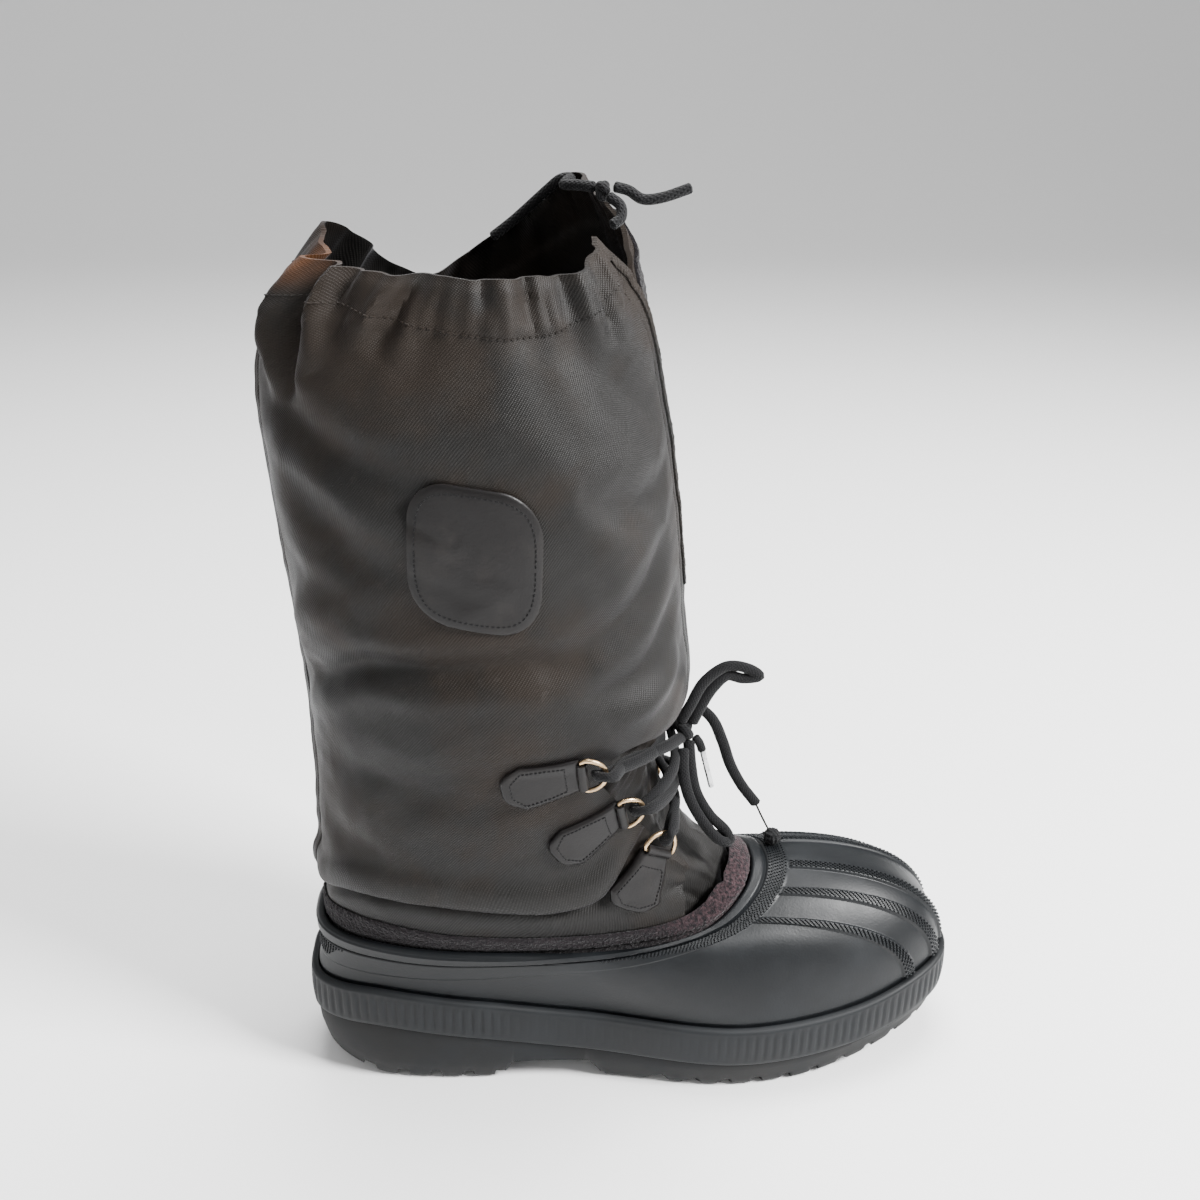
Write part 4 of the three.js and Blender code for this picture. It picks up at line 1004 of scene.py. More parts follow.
def finishes():
    """All materials of the boot by name, made once."""
    if "worn_nylon" in bpy.data.materials:
        return {m.name: m for m in bpy.data.materials}
    nylon_material()
    rubber_material("shell_rubber", "rubber", 0.4, 0.28)
    rubber_material("foxing_rubber", "rubber", 0.55, 0.35)
    rubber_material("sole_rubber", "sole", 0.6, 0.4)
    leather_material()
    lace_material("flat_lace", 5.0, 0.0034, 0.0003)
    lace_material("round_cord", 4.0, 0.0052, 0.0005)
    metal_material("pale_brass", colour("brass"), 0.22)
    metal_material("bright_tip", (0.62, 0.62, 0.63, 1), 0.2)
    # The near-black first tone is the pile's dark clumps and the hook strip; round the fleece band's sides
    # and back it is painted shade
    pile_material("fleece_pile", (0.006, 0.005, 0.006, 1), colour("fleece"), 900.0, 0.0012)
    pile_material("felt_pile", colour("felt"), (0.05, 0.05, 0.05, 1), 500.0, 0.0005)
    return {m.name: m for m in bpy.data.materials}


# Places on the leg for tabs, rings and badge


def spot(turn, up, lean, side):
    """Frame on the plain leg: origin, along (forward and up by lean), across and out."""
    place_turn = turn if side > 0 else 360 - turn
    forward = shaft_skin(place_turn - side, up) - shaft_skin(place_turn + side, up)
    forward = forward / np.linalg.norm(forward)
    upward = shaft_skin(place_turn, up + 0.004) - shaft_skin(place_turn, up - 0.004)
    upward = upward / np.linalg.norm(upward)
    out = np.cross(forward, upward) * side
    out = out / np.linalg.norm(out)
    rise = np.cross(out, forward) * side
    return {"turn": place_turn, "up": up, "side": side, "lean": math.radians(lean), "out": out,
            "rise": rise / np.linalg.norm(rise), "forward": forward}


def on_skin(at, a, b, height):
    """The leg at a along and b across a spot, in millimetres, `height` off the cloth."""
    a, b = np.broadcast_arrays(np.asarray(a, float), np.asarray(b, float))
    c, s = math.cos(at["lean"]), math.sin(at["lean"])
    forward, rise = a * c - b * s, a * s + b * c
    here = shaft_skin(at["turn"], at["up"])
    turn_step = np.linalg.norm(shaft_skin(at["turn"] + 1, at["up"]) - here)
    up_step = np.linalg.norm(shaft_skin(at["turn"], at["up"] + 0.01) - here) * 100
    turn = at["turn"] - at["side"] * forward / turn_step
    return on_nylon(turn, at["up"] + rise / up_step, height + GAP)


def eye_frame(at):
    """Axes of the ring's bar, as columns away, upright and bar, and its middle."""
    end = TAB["long"] / 2
    middle, low, high = (on_skin(at, end, b, 0) for b in (0, -RING["bar"] / 2, RING["bar"] / 2))
    bar = (high - low) / np.linalg.norm(high - low)
    ahead = middle - on_skin(at, end - 6, 0, 0)
    out = np.cross(ahead - bar * (ahead @ bar), bar)
    out = out / np.linalg.norm(out)
    out = out if out @ at["out"] > 0 else -out
    away = np.cross(bar, out)
    away = away / np.linalg.norm(away)
    away = away if away @ ahead > 0 else -away
    return away, out, bar, middle + out * (GAP + TAB["eye"] + 0.25)


def ring_frame(at):
    """The eye's axes, tipped off the cloth so that a lace passes under the bow."""
    away, out, bar, middle = eye_frame(at)
    tilt = math.radians(RING["tilt"])
    c, s = math.cos(tilt), math.sin(tilt)
    return away * c + out * s, out * c - away * s, bar, middle


def spots():
    """All six places of the tabs by (side name, row name)."""
    return {
        (side_name, row): spot(*values, side)
        for side_name, side in (("outer", 1), ("inner", -1))
        for row, values in TABS.items()
    }


def on_tongue(y, z, lift):
    """A place over the tongue at a distance from the boot's middle and a height."""
    up = (z - collar_height(0)) / (rim_height(0) - collar_height(0))
    share = np.clip((up - TONGUE["from_up"]) / (TONGUE["to_up"] - TONGUE["from_up"]), 0, 1)
    sunk = lerp(TONGUE["from_sunk"], TONGUE["to_sunk"], share)
    line = shaft_skin(np.linspace(-TONGUE["reach"], TONGUE["reach"], 101), up, lift - sunk)
    return np.array([line[np.argmin(np.abs(line[:, 1] - y)), 0], y, z])


# Pieces


class BOOT_OT_camera(bpy.types.Operator):
    """Camera at the photograph's place: beside and above the outer side, looking down"""

    bl_idname = "boot.camera"
    bl_label = "Camera"

    def execute(self, context):
        data = bpy.data.cameras.new("photo_camera")
        data.lens, data.sensor_width = 36.0, 36.0
        camera = bpy.data.objects.new("photo_camera", data)
        context.scene.collection.objects.link(camera)
        yaw, pitch, roll = (math.radians(a) for a in (5.3, 23.0, 0.5))
        level = math.cos(pitch)
        ahead = np.array([math.sin(yaw) * level, math.cos(yaw) * level, -math.sin(pitch)])
        right = np.array([math.cos(yaw), -math.sin(yaw), 0])
        above = np.cross(right, ahead)
        x = right * math.cos(roll) + above * math.sin(roll)
        y = above * math.cos(roll) - right * math.sin(roll)
        matrix = np.eye(4)
        matrix[:3, 0], matrix[:3, 1], matrix[:3, 2] = x, y, -ahead
        matrix[:3, 3] = np.array([47.5, -481.9, 436.5]) * MM
        camera.matrix_world = Matrix(matrix.tolist())
        context.scene.camera = camera
        return {"FINISHED"}


def free_cord(name, wide, flat, material, replaces, route=None, **facts):
    """A free cord along its route."""
    route = route or ROUTES[name]
    line = spline(route, 0.8)
    body = tube(Body(), line, wide, flat)
    obj = body.piece(name, finishes()[material], "lace", replaces, merge=True)
    return obj


def wrapped_knot(name, middle, reach, wide, replaces, material):
    """A knot: a cord along a trefoil: -1.3 sin 3t, sin t + 2 sin 2t and cos t - 2 cos 2t."""
    t = np.linspace(0, 2 * np.pi, 96, endpoint=False)
    aside, upward = np.sin(t) + 2 * np.sin(2 * t), np.cos(t) - 2 * np.cos(2 * t)
    line = np.stack([-np.sin(3 * t) * 1.3, aside, upward], 1)
    line = line / 3 * (np.array(reach) - wide / 2) + np.array(middle)
    body = tube(Body(), line, wide, closed=True, sides=12)
    return body.piece(name, finishes()[material], "lace", replaces, merge=True)


class BOOT_OT_bow(bpy.types.Operator):
    """Free laces: two bow loops, the long end with its thread and bead, the short end and its tip"""

    bl_idname = "boot.bow"
    bl_label = "Bow"

    def execute(self, context):
        wide = sizes()["lace_wide"]
        free_cord("bow_loop_upper", wide, 0.64, "flat_lace", ["lace_loop_upper"],
                  far_end="object", stiffness="limp", lay="loose")
        free_cord("bow_loop_lower", wide, 0.64, "flat_lace", ["lace_loop_lower"],
                  far_end="object", stiffness="limp", lay="hanging")
        free_cord("lace_end", wide, 0.64, "flat_lace", ["lace_end_long"],
                  far_end="bare", stiffness="limp", lay="hanging")
        free_cord("bead_thread", 1.0, 1.0, "flat_lace", ["lace_thread"])
        free_cord("lace_stub", 4.0, 1.0, "flat_lace", ["lace_end_short"])
        wrapped_knot("lace_knot_wrap", KNOT, (5.4, 6.8, 5.6), 4.8, ["lace_knot"], "flat_lace")
        lumpy_bead("lace_bead", LACE_BALL, 4.1)
        line = spline([(139.2, -8.7, 158.1), (141.3, -10.1, 149.6), (143.5, -11.5, 141)], 1.0)
        tip = tube(Body(), line, 2.6, sides=16)
        tip.piece("lace_tip", finishes()["bright_tip"], "tip", ["aglet"], merge=True)
        return {"FINISHED"}


def lumpy_bead(name, middle, radius):
    """A knotted bead: a sphere in two angles whose radius swells in ripples."""
    tilt = np.linspace(0, np.pi, 25)[:, None]
    spin = np.linspace(0, 2 * np.pi, 48, endpoint=False)[None, :]
    level = np.sin(tilt)
    ball = np.stack(np.broadcast_arrays(level * np.cos(spin), level * np.sin(spin), np.cos(tilt)), -1)
    swell = 0.09 * np.sin(12 * ball[..., 0]) * np.cos(ball[..., 1] * 11 + 1)
    swell = 1 + swell + 0.05 * np.sin(ball[..., 2] * 13)
    body = Body()
    body.grid(ball * (radius * swell)[..., None] + np.array(middle), wrap_cols=True)
    return body.piece(name, finishes()["flat_lace"], "lace", ["lace_ball"], merge=True)


class BOOT_OT_drawcord(bpy.types.Operator):
    """Round drawcord of the hem: lead, knot, hanging loop and the tail that stands off"""

    bl_idname = "boot.drawcord"
    bl_label = "Drawcord"

    def execute(self, context):
        wide = sizes()["cord_wide"]
        turn = np.array([282.0, 291, 300, 309, 317, 324])
        along_rim = shaft_skin(turn, 0.985, -6.6) + [0, 0, 3.0]
        lead = [*along_rim, (78, 17, 402.5), (83, 11, 402.6), (88.5, 4.4, 402.4)]
        free_cord("hem_cord_lead", wide, 1.0, "round_cord", ["drawcord_lead"], route=lead,
                  far_end="object", stiffness="medium", lay="loose")
        free_cord("hem_cord_loop", wide, 1.0, "round_cord", ["drawcord_loop"])
        free_cord("hem_cord_tail", wide, 1.0, "round_cord", ["drawcord_tail"],
                  far_end="bare", stiffness="medium", lay="loose")
        wrapped_knot("drawcord_knot_wrap", CORD_KNOT, (4.2, 4.2, 4.2), 3.6, ["drawcord_knot"],
                     "round_cord")
        return {"FINISHED"}


def lace_route():
    """The lace from the knot through all six rings and back to the knot. At each ring it comes
    in under the bow, through it and back over it; between rings it lies over the tongue."""
    at = spots()

    def through(side, row, first_under):
        away, out, bar, middle = ring_frame(at[side, row])
        under = middle + away * 12.5 - out * 2.9
        inside = middle + away * 5.6 + out * 0.2
        over = middle + away * 12.8 + out * 3.2
        sideways = bar * 1.6
        points = [under - sideways, inside, over + sideways]
        return points if first_under else points[::-1]

    order = [("outer", "top"), ("inner", "middle"), ("outer", "low"), ("inner", "low"),
             ("outer", "middle"), ("inner", "top")]
    under_first = [False, True, True, False, False, True]
    lifts = [4.2, 4.2, 4.6, 9.4, 9.4]
    knots = [np.array(KNOT) + [-2.5, -5.2, -0.5], np.array(KNOT) + [-2.5, 5.2, -0.5]]
    route = [knots[0]]
    stops = [through(*name, first) for name, first in zip(order, under_first)]
    for share in (0.3, 0.65):
        middle = lerp(knots[0], stops[0][0], share)
        route.append(on_tongue(middle[1], middle[2], 8.5))
    for k, stop in enumerate(stops):
        route += stop
        if k < len(stops) - 1:
            ahead = stops[k + 1][0]
            for share, extra in ((0.22, 3.5), (0.5, 0.0), (0.78, 3.5)):
                middle = lerp(stop[-1], ahead, share)
                route.append(on_tongue(middle[1], middle[2], lifts[k] + extra))
    for share in (0.35, 0.7):
        middle = lerp(stops[-1][-1], knots[1], share)
        route.append(on_tongue(middle[1], middle[2], 8.5))
    route.append(knots[1])
    return route


class BOOT_OT_laces(bpy.types.Operator):
    """Lace run through the six D-rings and up to the knot"""

    bl_idname = "boot.laces"
    bl_label = "Laces"

    def execute(self, context):
        line = spline(lace_route(), 0.9)
        body = tube(Body(), line, sizes()["lace_wide"], 0.75, across=(0.75, 0.1, 0.65))
        body.piece("lace_run", finishes()["flat_lace"], "lace", ["lace_bars"], merge=True)
        return {"FINISHED"}


HEM_ROW = 0.32  # row of the leg that lies on the throat's top edge in front


def leg_rows():
    """Rows of the leg: close together at the overhang, the throat's top edge and the rim."""
    return np.concatenate([
        np.linspace(-0.04, 0.05, 14, endpoint=False),
        np.linspace(0.05, 0.2, 62, endpoint=False),
        np.linspace(0.2, 0.3, 12, endpoint=False),
        np.linspace(0.3, HEM_ROW, 14, endpoint=False),
        np.linspace(HEM_ROW, 0.34, 8, endpoint=False),
        np.linspace(0.34, 0.86, 78, endpoint=False),
        np.linspace(0.86, 1.0, 36),
    ])


def row_up(row, turn):
    """Share of the height of a row: its own value at the back, and in front bent so that the
    row HEM_ROW runs level at the throat's top."""
    level = (THROAT["top"] - collar_height(turn)) / (rim_height(turn) - collar_height(turn))
    ahead = smooth(np.cos(np.radians(turn)), -0.35, 0.35)
    hem = lerp(HEM_ROW, level, ahead)
    below = lerp(-0.04, hem, (row + 0.04) / (HEM_ROW + 0.04))
    above = lerp(hem, 1.0, (row - HEM_ROW) / (1 - HEM_ROW))
    return np.where(row < HEM_ROW, below, above)


def throat_x(z):
    """Side view of the throat's edge: two straight runs and a quarter round at the top."""
    (low_x, low_z), (mid_x, mid_z), (high_x, high_z) = THROAT["low"], THROAT["middle"], THROAT["high"]
    bend = np.clip((z - high_z) / (THROAT["top"] - high_z), 0, 1)
    corner = high_x + 18 * (1 - np.sqrt(np.maximum(1 - bend**2, 0)))
    line = np.interp(z, [low_z, mid_z, high_z], [low_x, mid_x, high_x])
    return np.where(z > high_z, corner, line)


def throat_turn(rows, side):
    """Turn of the throat's edge in each row: where the leg's x first drops to the edge's."""
    turn = np.linspace(0, 120, 961)[None, :] * side
    row = np.minimum(rows, HEM_ROW)[:, None]
    point = shaft_skin(turn, row_up(row, turn))
    ahead = point[..., 0] - throat_x(point[..., 2])
    k = np.argmax(ahead < 0, axis=1)
    lines = np.arange(len(rows))
    before, after = ahead[lines, k - 1], ahead[lines, k]
    return np.abs(turn[0, k - 1]) + 0.125 * before / (before - after)


class BOOT_OT_leg(bpy.types.Operator):
    """Nylon leg with its folds, gathers, drawcord casing and lapped front"""

    bl_idname = "boot.leg"
    bl_label = "Leg"

    def execute(self, context):
        rows = leg_rows()
        row = rows[:, None]
        near, far = throat_turn(rows, 1)[:, None], 360 - throat_turn(rows, -1)[:, None]
        lip = np.linspace(0, 1, 30, endpoint=False)[None, :]
        outer_flap, inner_flap = read(FLAPS, "outer_flap", row), read(FLAPS, "inner_flap", row)
        turn = np.concatenate([
            lerp(outer_flap, near, lip), lerp(near, far, np.linspace(0, 1, 190)[None, :]),
            lerp(inner_flap, far, lip[:, ::-1]),
        ], 1)
        up = row_up(row, turn)
        present = np.ones((len(rows) - 1, turn.shape[1] - 1), bool)
        below = rows[:-1] < HEM_ROW - 1e-6
        present[below, :30] = False
        present[below, -30:] = False
        worn = np.exp(-(((turn - 172) / 14) ** 2)) * smooth(up, 0.955, 1.0) * 0.8
        worn = np.clip(worn * (0.6 + 0.4 * ripples(turn, up * 200, 9)), 0, 1)
        uv = np.stack([turn * MM_PER_TURN, up * MM_PER_UP], -1) * MM
        body = Body().cut_wall(leg_point(turn, up), leg_point(turn, up, NYLON), present, uv, worn)
        body.piece("boot_leg", finishes()["worn_nylon"], "nylon", ["shaft"])
        return {"FINISHED"}


class BOOT_OT_leg_seams(bpy.types.Operator):
    """Stitch lines of the casing and the front edge, and the piping over the back seam"""

    bl_idname = "boot.leg_seams"
    bl_label = "Leg seams"

    def execute(self, context):
        pitch = sizes()["stitch_pitch"]
        thread = Body()
        turn = np.linspace(26, 344, 3000)
        up = read(CASING_SEAM, "up", turn)
        line, outs = leg_point(turn, up), leg_point(turn, up, -1) - leg_point(turn, up)
        stitch_line(thread, line, outs, pitch, long=1.9, wide=0.7, high=0.45)
        for inset in (4.0, 8.0):
            up = np.linspace(0.36, 0.93, 1600)
            turn = read(FLAPS, "outer_flap", up) + inset / 1.1
            line, outs = leg_point(turn, up), leg_point(turn, up, -1) - leg_point(turn, up)
            stitch_line(thread, line, outs, pitch, long=1.5, wide=0.5, high=0.3)
        thread.piece("leg_stitches", finishes()["worn_nylon"], "nylon")
        up = np.linspace(0.06, 0.93, 220)[:, None]
        across = np.linspace(-1, 1, 17)[None, :]
        arch = 1 - np.abs(across) ** 3
        piping = 0.9 * np.exp(-((across / 0.28) ** 2))
        wobble = 0.8 * np.sin(up * 60) + 0.5 * np.sin(up * 137 + 1)
        turn = 180 + across * 3.4 + wobble * 0.5
        proud = 0.35 + 1.1 * arch + piping
        strip = Body().wall(leg_point(turn, up, -proud), leg_point(turn, up, -0.15))
        strip.piece("back_piping", finishes()["worn_nylon"], "nylon", ["back_stay"])
        return {"FINISHED"}


class BOOT_OT_closure(bpy.types.Operator):
    """Hook strip and frayed seam strip where the front flaps open at the top"""

    bl_idname = "boot.closure"
    bl_label = "Front closure strip"

    def execute(self, context):
        up = np.linspace(0.8, 0.985, 60)[:, None]
        edge = read(FLAPS, "inner_flap", up)
        across = np.linspace(0, 1, 12)[None, :]
        turn = edge - 3 - across * 13
        fuzz = 0.5 * ripples(turn * 9, up * 900, 5)
        band = Body().wall(leg_point(turn, up, -(1.3 + fuzz)), leg_point(turn, up, -0.2))
        band.piece("hook_strip", finishes()["fleece_pile"], "fleece")
        up = np.linspace(0.5, 0.97, 160)[:, None]
        turn = read(FLAPS, "outer_flap", up) + 0.6 + np.linspace(0, 1, 7)[None, :] * 2.6
        fray = 0.45 * ripples(turn * 11, up * 700, 4)
        strip = Body().wall(leg_point(turn, up, -(0.9 + fray)), leg_point(turn, up, -0.1))
        strip.piece("front_binding", finishes()["worn_nylon"], "nylon")
        return {"FINISHED"}


class BOOT_OT_tongue(bpy.types.Operator):
    """Bellows tongue of nylon with soft upright folds"""

    bl_idname = "boot.tongue"
    bl_label = "Tongue"

    def execute(self, context):
        up = np.linspace(TONGUE["from_up"], TONGUE["to_up"], 70)[:, None]
        turn = np.linspace(-TONGUE["reach"], TONGUE["reach"], 110)[None, :]
        share = (up - TONGUE["from_up"]) / (TONGUE["to_up"] - TONGUE["from_up"])
        sunk = lerp(TONGUE["from_sunk"], TONGUE["to_sunk"], share)
        folds = 1.6 * np.cos(np.radians(turn * 13 + 60 * up)) * np.exp(-((np.abs(turn) / 46) ** 4))
        folds = folds + 1.8 * ripples(turn * 1.3, up * 260, 19) + 0.8 * ripples(up * 260, turn * 1.1, 8)
        outer = shaft_skin(turn, up, folds - sunk)
        inner = shaft_skin(turn, up, folds - sunk - TONGUE["thick"])
        Body().wall(outer, inner).piece("tongue_cloth", finishes()["worn_nylon"], "nylon", ["tongue"])
        return {"FINISHED"}


class BOOT_OT_fleece(bpy.types.Operator):
    """Fleece band that shows between the rubber collar and the nylon"""

    bl_idname = "boot.fleece"
    bl_label = "Fleece band"

    def execute(self, context):
        turn = np.linspace(0, 360, 720, endpoint=False)[None, :]
        part = np.linspace(-0.6, 1.0, 26)[:, None]
        rise = rim_height(90) - collar_height(90)
        up = part * read_round(COLLAR_EDGE, "fleece", turn) / rise
        crown = 1.3 * (1 - np.abs(np.clip(part, 0, 1) * 2 - 1) ** 3)
        tufts = 0.5 * ripples(turn * 1.2, part * 12, 3.1) + 0.3 * ripples(turn * 1.2 + 9, part * 12, 1.7)
        ahead = smooth(np.cos(np.radians(turn)), 0.35, 0.85) * np.ones_like(part)
        fill = 3.6 * ahead * (1 - smooth(part, 0.35, 1.0)) + 0.8 * (1 - smooth(part, 0.1, 0.5))
        outer = on_nylon(turn, up, 0.6 + crown + tufts + fill)
        inner = on_nylon(turn, up, 0.2)
        # The mark lets the purple-brown pile show only in front; round the sides and back the band stays
        # near black, a painted shade
        body = Body().wall(outer, inner, wrap=True, mark=0.1 + 0.9 * ahead)
        body.piece("fleece_trim", finishes()["fleece_pile"], "fleece", ["fleece_band"])
        return {"FINISHED"}


def plate(at, half_wide, rows, thick, columns=25):
    """A leather plate for a spot, whose `at` is not used here: rows of (a or b) across its outline, its top
    rounded off at the edge as one minus the eighth power of the distance from the middle."""
    across = np.linspace(-1, 1, columns)[None, :]
    half = half_wide(rows)[:, None]
    end = np.abs(2 * (rows - rows[0]) / (rows[-1] - rows[0]) - 1)[:, None]
    roll = (1 - np.abs(across) ** 10) * (1 - end**24)
    return across * half, rows[:, None] * np.ones_like(across), thick * (0.55 + 0.45 * roll)


class BOOT_OT_tabs(bpy.types.Operator):
    """Leather tabs: straps with a blunt point, rounded edges, a stitched border and a ring eye"""

    bl_idname = "boot.tabs"
    bl_label = "Leather tabs"

    def execute(self, context):
        for (side, row), at in spots().items():
            long, wide, narrow, point = (TAB[k] for k in ("long", "wide", "narrow", "point"))
            outline = {"a": [-long / 2, -long / 2 + 2, -long / 2 + point, 2, long / 2],
                       "half": [3.6, 7.2, wide / 2, (wide + narrow) / 4, narrow / 2]}

            def half_wide(a, outline=outline):
                return np.interp(a, outline["a"], outline["half"])

            rows = np.linspace(-long / 2, long / 2 - 0.6, 56)
            b, a, high = plate(at, half_wide, rows, TAB["thick"])
            puff = 0.35 * ripples(a + at["turn"], b, 23)
            body = Body().wall(on_skin(at, a, b, high + puff), on_skin(at, a, b, 0.1))
            away, out, bar, middle = eye_frame(at)
            angle = np.linspace(0, 2 * np.pi, 20, endpoint=False)[None, :]
            along = np.linspace(-(RING["bar"] - 3) / 2, (RING["bar"] - 3) / 2, 15)[:, None, None] * bar
            circle = np.cos(angle)[..., None] * away + np.sin(angle)[..., None] * out
            body.wall(middle + along + circle * 2.3, middle + along + circle * 1.35, wrap=True)
            body.piece(f"leather_tab_{side}_{row}", finishes()["black_leather"], "leather",
                       [f"tab_{side}_{row}"], sharp=50)
            half = [(9, narrow / 2 - 2.4), (2, (wide + narrow) / 4 - 2.4),
                    (-long / 2 + point, wide / 2 - 2.6), (-long / 2 + 3.4, 3.4)]
            other = [(a_end, -b_end) for a_end, b_end in half[::-1]]
            border = np.array([*half, *other, half[0]])
            steps = np.linspace(0, len(border) - 1, 800)
            line_a = np.interp(steps, np.arange(len(border)), border[:, 0])
            line_b = np.interp(steps, np.arange(len(border)), border[:, 1])
            puff = 0.35 * ripples(line_a + at["turn"], line_b, 23)
            line = on_skin(at, line_a, line_b, TAB["thick"] + puff + 0.05)
            outs = on_skin(at, line_a, line_b, TAB["thick"] + 1 + puff) - line
            thread = stitch_line(Body(), line, outs, 1.8, long=1.3, wide=0.5, high=0.3)
            thread.piece(f"tab_stitches_{side}_{row}", finishes()["flat_lace"], "lace")
        return {"FINISHED"}


class BOOT_OT_rings(bpy.types.Operator):
    """Six D-rings: a round wire along a straight bar, two legs and a half circle"""

    bl_idname = "boot.rings"
    bl_label = "D-rings"

    def execute(self, context):
        half, leg = RING["bar"] / 2, RING["leg"]
        angle = np.radians(np.linspace(90, -90, 33))
        bow = np.stack([leg + np.cos(angle) * half, np.sin(angle) * half], 1)
        bar = np.stack([np.zeros(12), np.linspace(-half + 0.9, half - 0.9, 12)], 1)
        for (side, row), at in spots().items():
            away, _, along, middle = ring_frame(at)
            flat_line = np.concatenate([bar, bow])
            line = middle + flat_line[:, :1] * away + flat_line[:, 1:] * along
            body = tube(Body(), line, RING["wire"], sides=14, across=np.cross(away, along), closed=True)
            body.piece(f"ring_{side}_{row}", finishes()["pale_brass"], "brass",
                       [f"d_ring_{side}_{row}"], merge=True)
        return {"FINISHED"}


class BOOT_OT_badge(bpy.types.Operator):
    """Bare leather badge with wide round corners, a rounded edge and a stitched border"""

    bl_idname = "boot.badge"
    bl_label = "Badge"

    def execute(self, context):
        at = spot(BADGE["turn"], BADGE["up"], BADGE["lean"], 1)
        high, wide, corner = BADGE["high"], BADGE["wide"], BADGE["corner"]

        def half_wide(b, inset=0.0):
            from_edge = np.clip(high / 2 - inset - np.abs(b), 0, corner)
            cut_in = corner - np.sqrt(np.maximum(corner**2 - (corner - from_edge) ** 2, 0))
            return wide / 2 - inset - cut_in

        bend = np.linspace(-np.pi / 2, np.pi / 2, 70)
        rows = np.sin(bend) * high / 2
        b, a, thick = plate(at, half_wide, rows, 1.7, columns=61)
        puff = 0.35 * ripples(a * 1.1, b, 38)
        # Painted highlight: the leather's colour is made lighter along the badge's two side edges
        rubbed = 0.5 * smooth(np.abs(b) / np.maximum(half_wide(rows)[:, None], 1), 0.95, 1.0)
        body = Body().wall(on_skin(at, b, a, thick + puff), on_skin(at, b, a, 0.1), mark=rubbed)
        body.piece("side_badge", finishes()["black_leather"], "leather", ["badge"], sharp=60)
        around = np.linspace(0, 2 * np.pi, 2400)
        reach = wide / 2 - 3.2, high / 2 - 3.2
        c, s = np.cos(around), np.sin(around)
        line_a = reach[0] * np.sign(c) * np.abs(c) ** (2 / 3.4)
        line_b = reach[1] * np.sign(s) * np.abs(s) ** (2 / 3.4)
        puff = 0.35 * ripples(line_b * 1.1, line_a, 38)
        line = on_skin(at, line_a, line_b, 1.72 + puff)
        outs = on_skin(at, line_a, line_b, 2.72 + puff) - line
        thread = stitch_line(Body(), line, outs, 2.1, long=1.4, wide=0.5, high=0.3)
        thread.piece("badge_stitches", finishes()["flat_lace"], "lace")
        return {"FINISHED"}


def shell_turns():
    """Columns of the foot shell: close together over the toe cap, wider apart behind it."""
    fine = np.linspace(-74, 74, 400, endpoint=False)
    return np.concatenate([fine, np.linspace(74, 286, 240, endpoint=False)])


def along_rows(points):
    """Arc length down each column from the first row."""
    steps = np.linalg.norm(np.diff(points, axis=0), axis=-1)
    return np.concatenate([np.zeros((1, points.shape[1])), np.cumsum(steps, 0)])


def shell_outward(points):
    """Normals of a grid on the foot shell, pointing away from the foot."""
    normal = grid_normals(points, True)
    return -normal if normal[0, 0, 0] < 0 else normal


def rib_distance(points, turn):
    """Distance across each row to the nearest toe rib's middle line, in millimetres."""
    arc = np.concatenate([np.zeros((points.shape[0], 1)),
                          np.cumsum(np.linalg.norm(np.diff(points, axis=1), axis=-1), 1)], 1)
    best = np.full(points.shape[:2], 1e3)
    for rib in TOE_RIB["turns"]:
        k = int(np.argmin(np.abs(turn - rib)))
        best = np.minimum(best, np.abs(arc - arc[:, k : k + 1]))
    return best


def shell_foot(x):
    """Height of the shell's lower edge, on the sole's seat."""
    return foxing_top(x) - SHELL_SEAT + GAP


class BOOT_OT_shell(bpy.types.Operator):
    """Rubber foot shell with fanned toe ribs, a rolled collar, a groove and a low step"""

    bl_idname = "boot.shell"
    bl_label = "Foot shell"

    def execute(self, context):
        turn = shell_turns()
        share = np.concatenate([np.linspace(0, 0.8, 56, endpoint=False), np.linspace(0.8, 1, 44)])
        skin = shell_point(turn[None, :], share[:, None])
        normal = shell_outward(skin)
        arc = along_rows(skin)
        from_edge = arc[-1:] - arc
        wide = lerp(TOE_RIB["foot"], TOE_RIB["head"], share)[:, None] / 2
        rib = 1 - smooth(rib_distance(skin, turn), wide - 1.0, wide + 0.1)
        rib = rib * smooth(arc, 0.5, 2.5) * smooth(from_edge, 17.5, 19.5)
        height = TOE_RIB["high"] * rib
        height = height + 1.4 * (1 - smooth(from_edge, 5.4, 6.6))
        height = height - 0.55 * np.exp(-(((from_edge - 7.4) / 0.5) ** 2))
        height = height + 0.35 * smooth(from_edge, 7.6, 8.2) * (1 - smooth(from_edge, 17.4, 18.2))
        height = height - 0.5 * (1 - smooth(arc, 0.6, 1.8))
        height = height - 0.9 * (1 - smooth(from_edge, 0.0, 1.3))
        outer = skin + normal * height[..., None]
        crown = skin[-1:] - normal[-1:] * 1.2 + np.array([0, 0, 0.9])
        seat = foot_ring(turn, FOXING_THICK + GAP, shell_foot)[None]
        inner_share = np.linspace(0, 1, 14)[:, None]
        inside = shell_point(turn[None, :], inner_share)
        inner = inside - shell_outward(inside) * RUBBER
        foot = foot_ring(turn, FOXING_THICK + GAP + RUBBER, shell_foot)[None]
        outside, within = np.concatenate([seat, outer, crown]), np.concatenate([foot, inner])
        body = Body().wall(outside, within, wrap=True)
        body.piece("foot_shell", finishes()["shell_rubber"], "rubber", ["rubber_shell"], sharp=55)
        return {"FINISHED"}


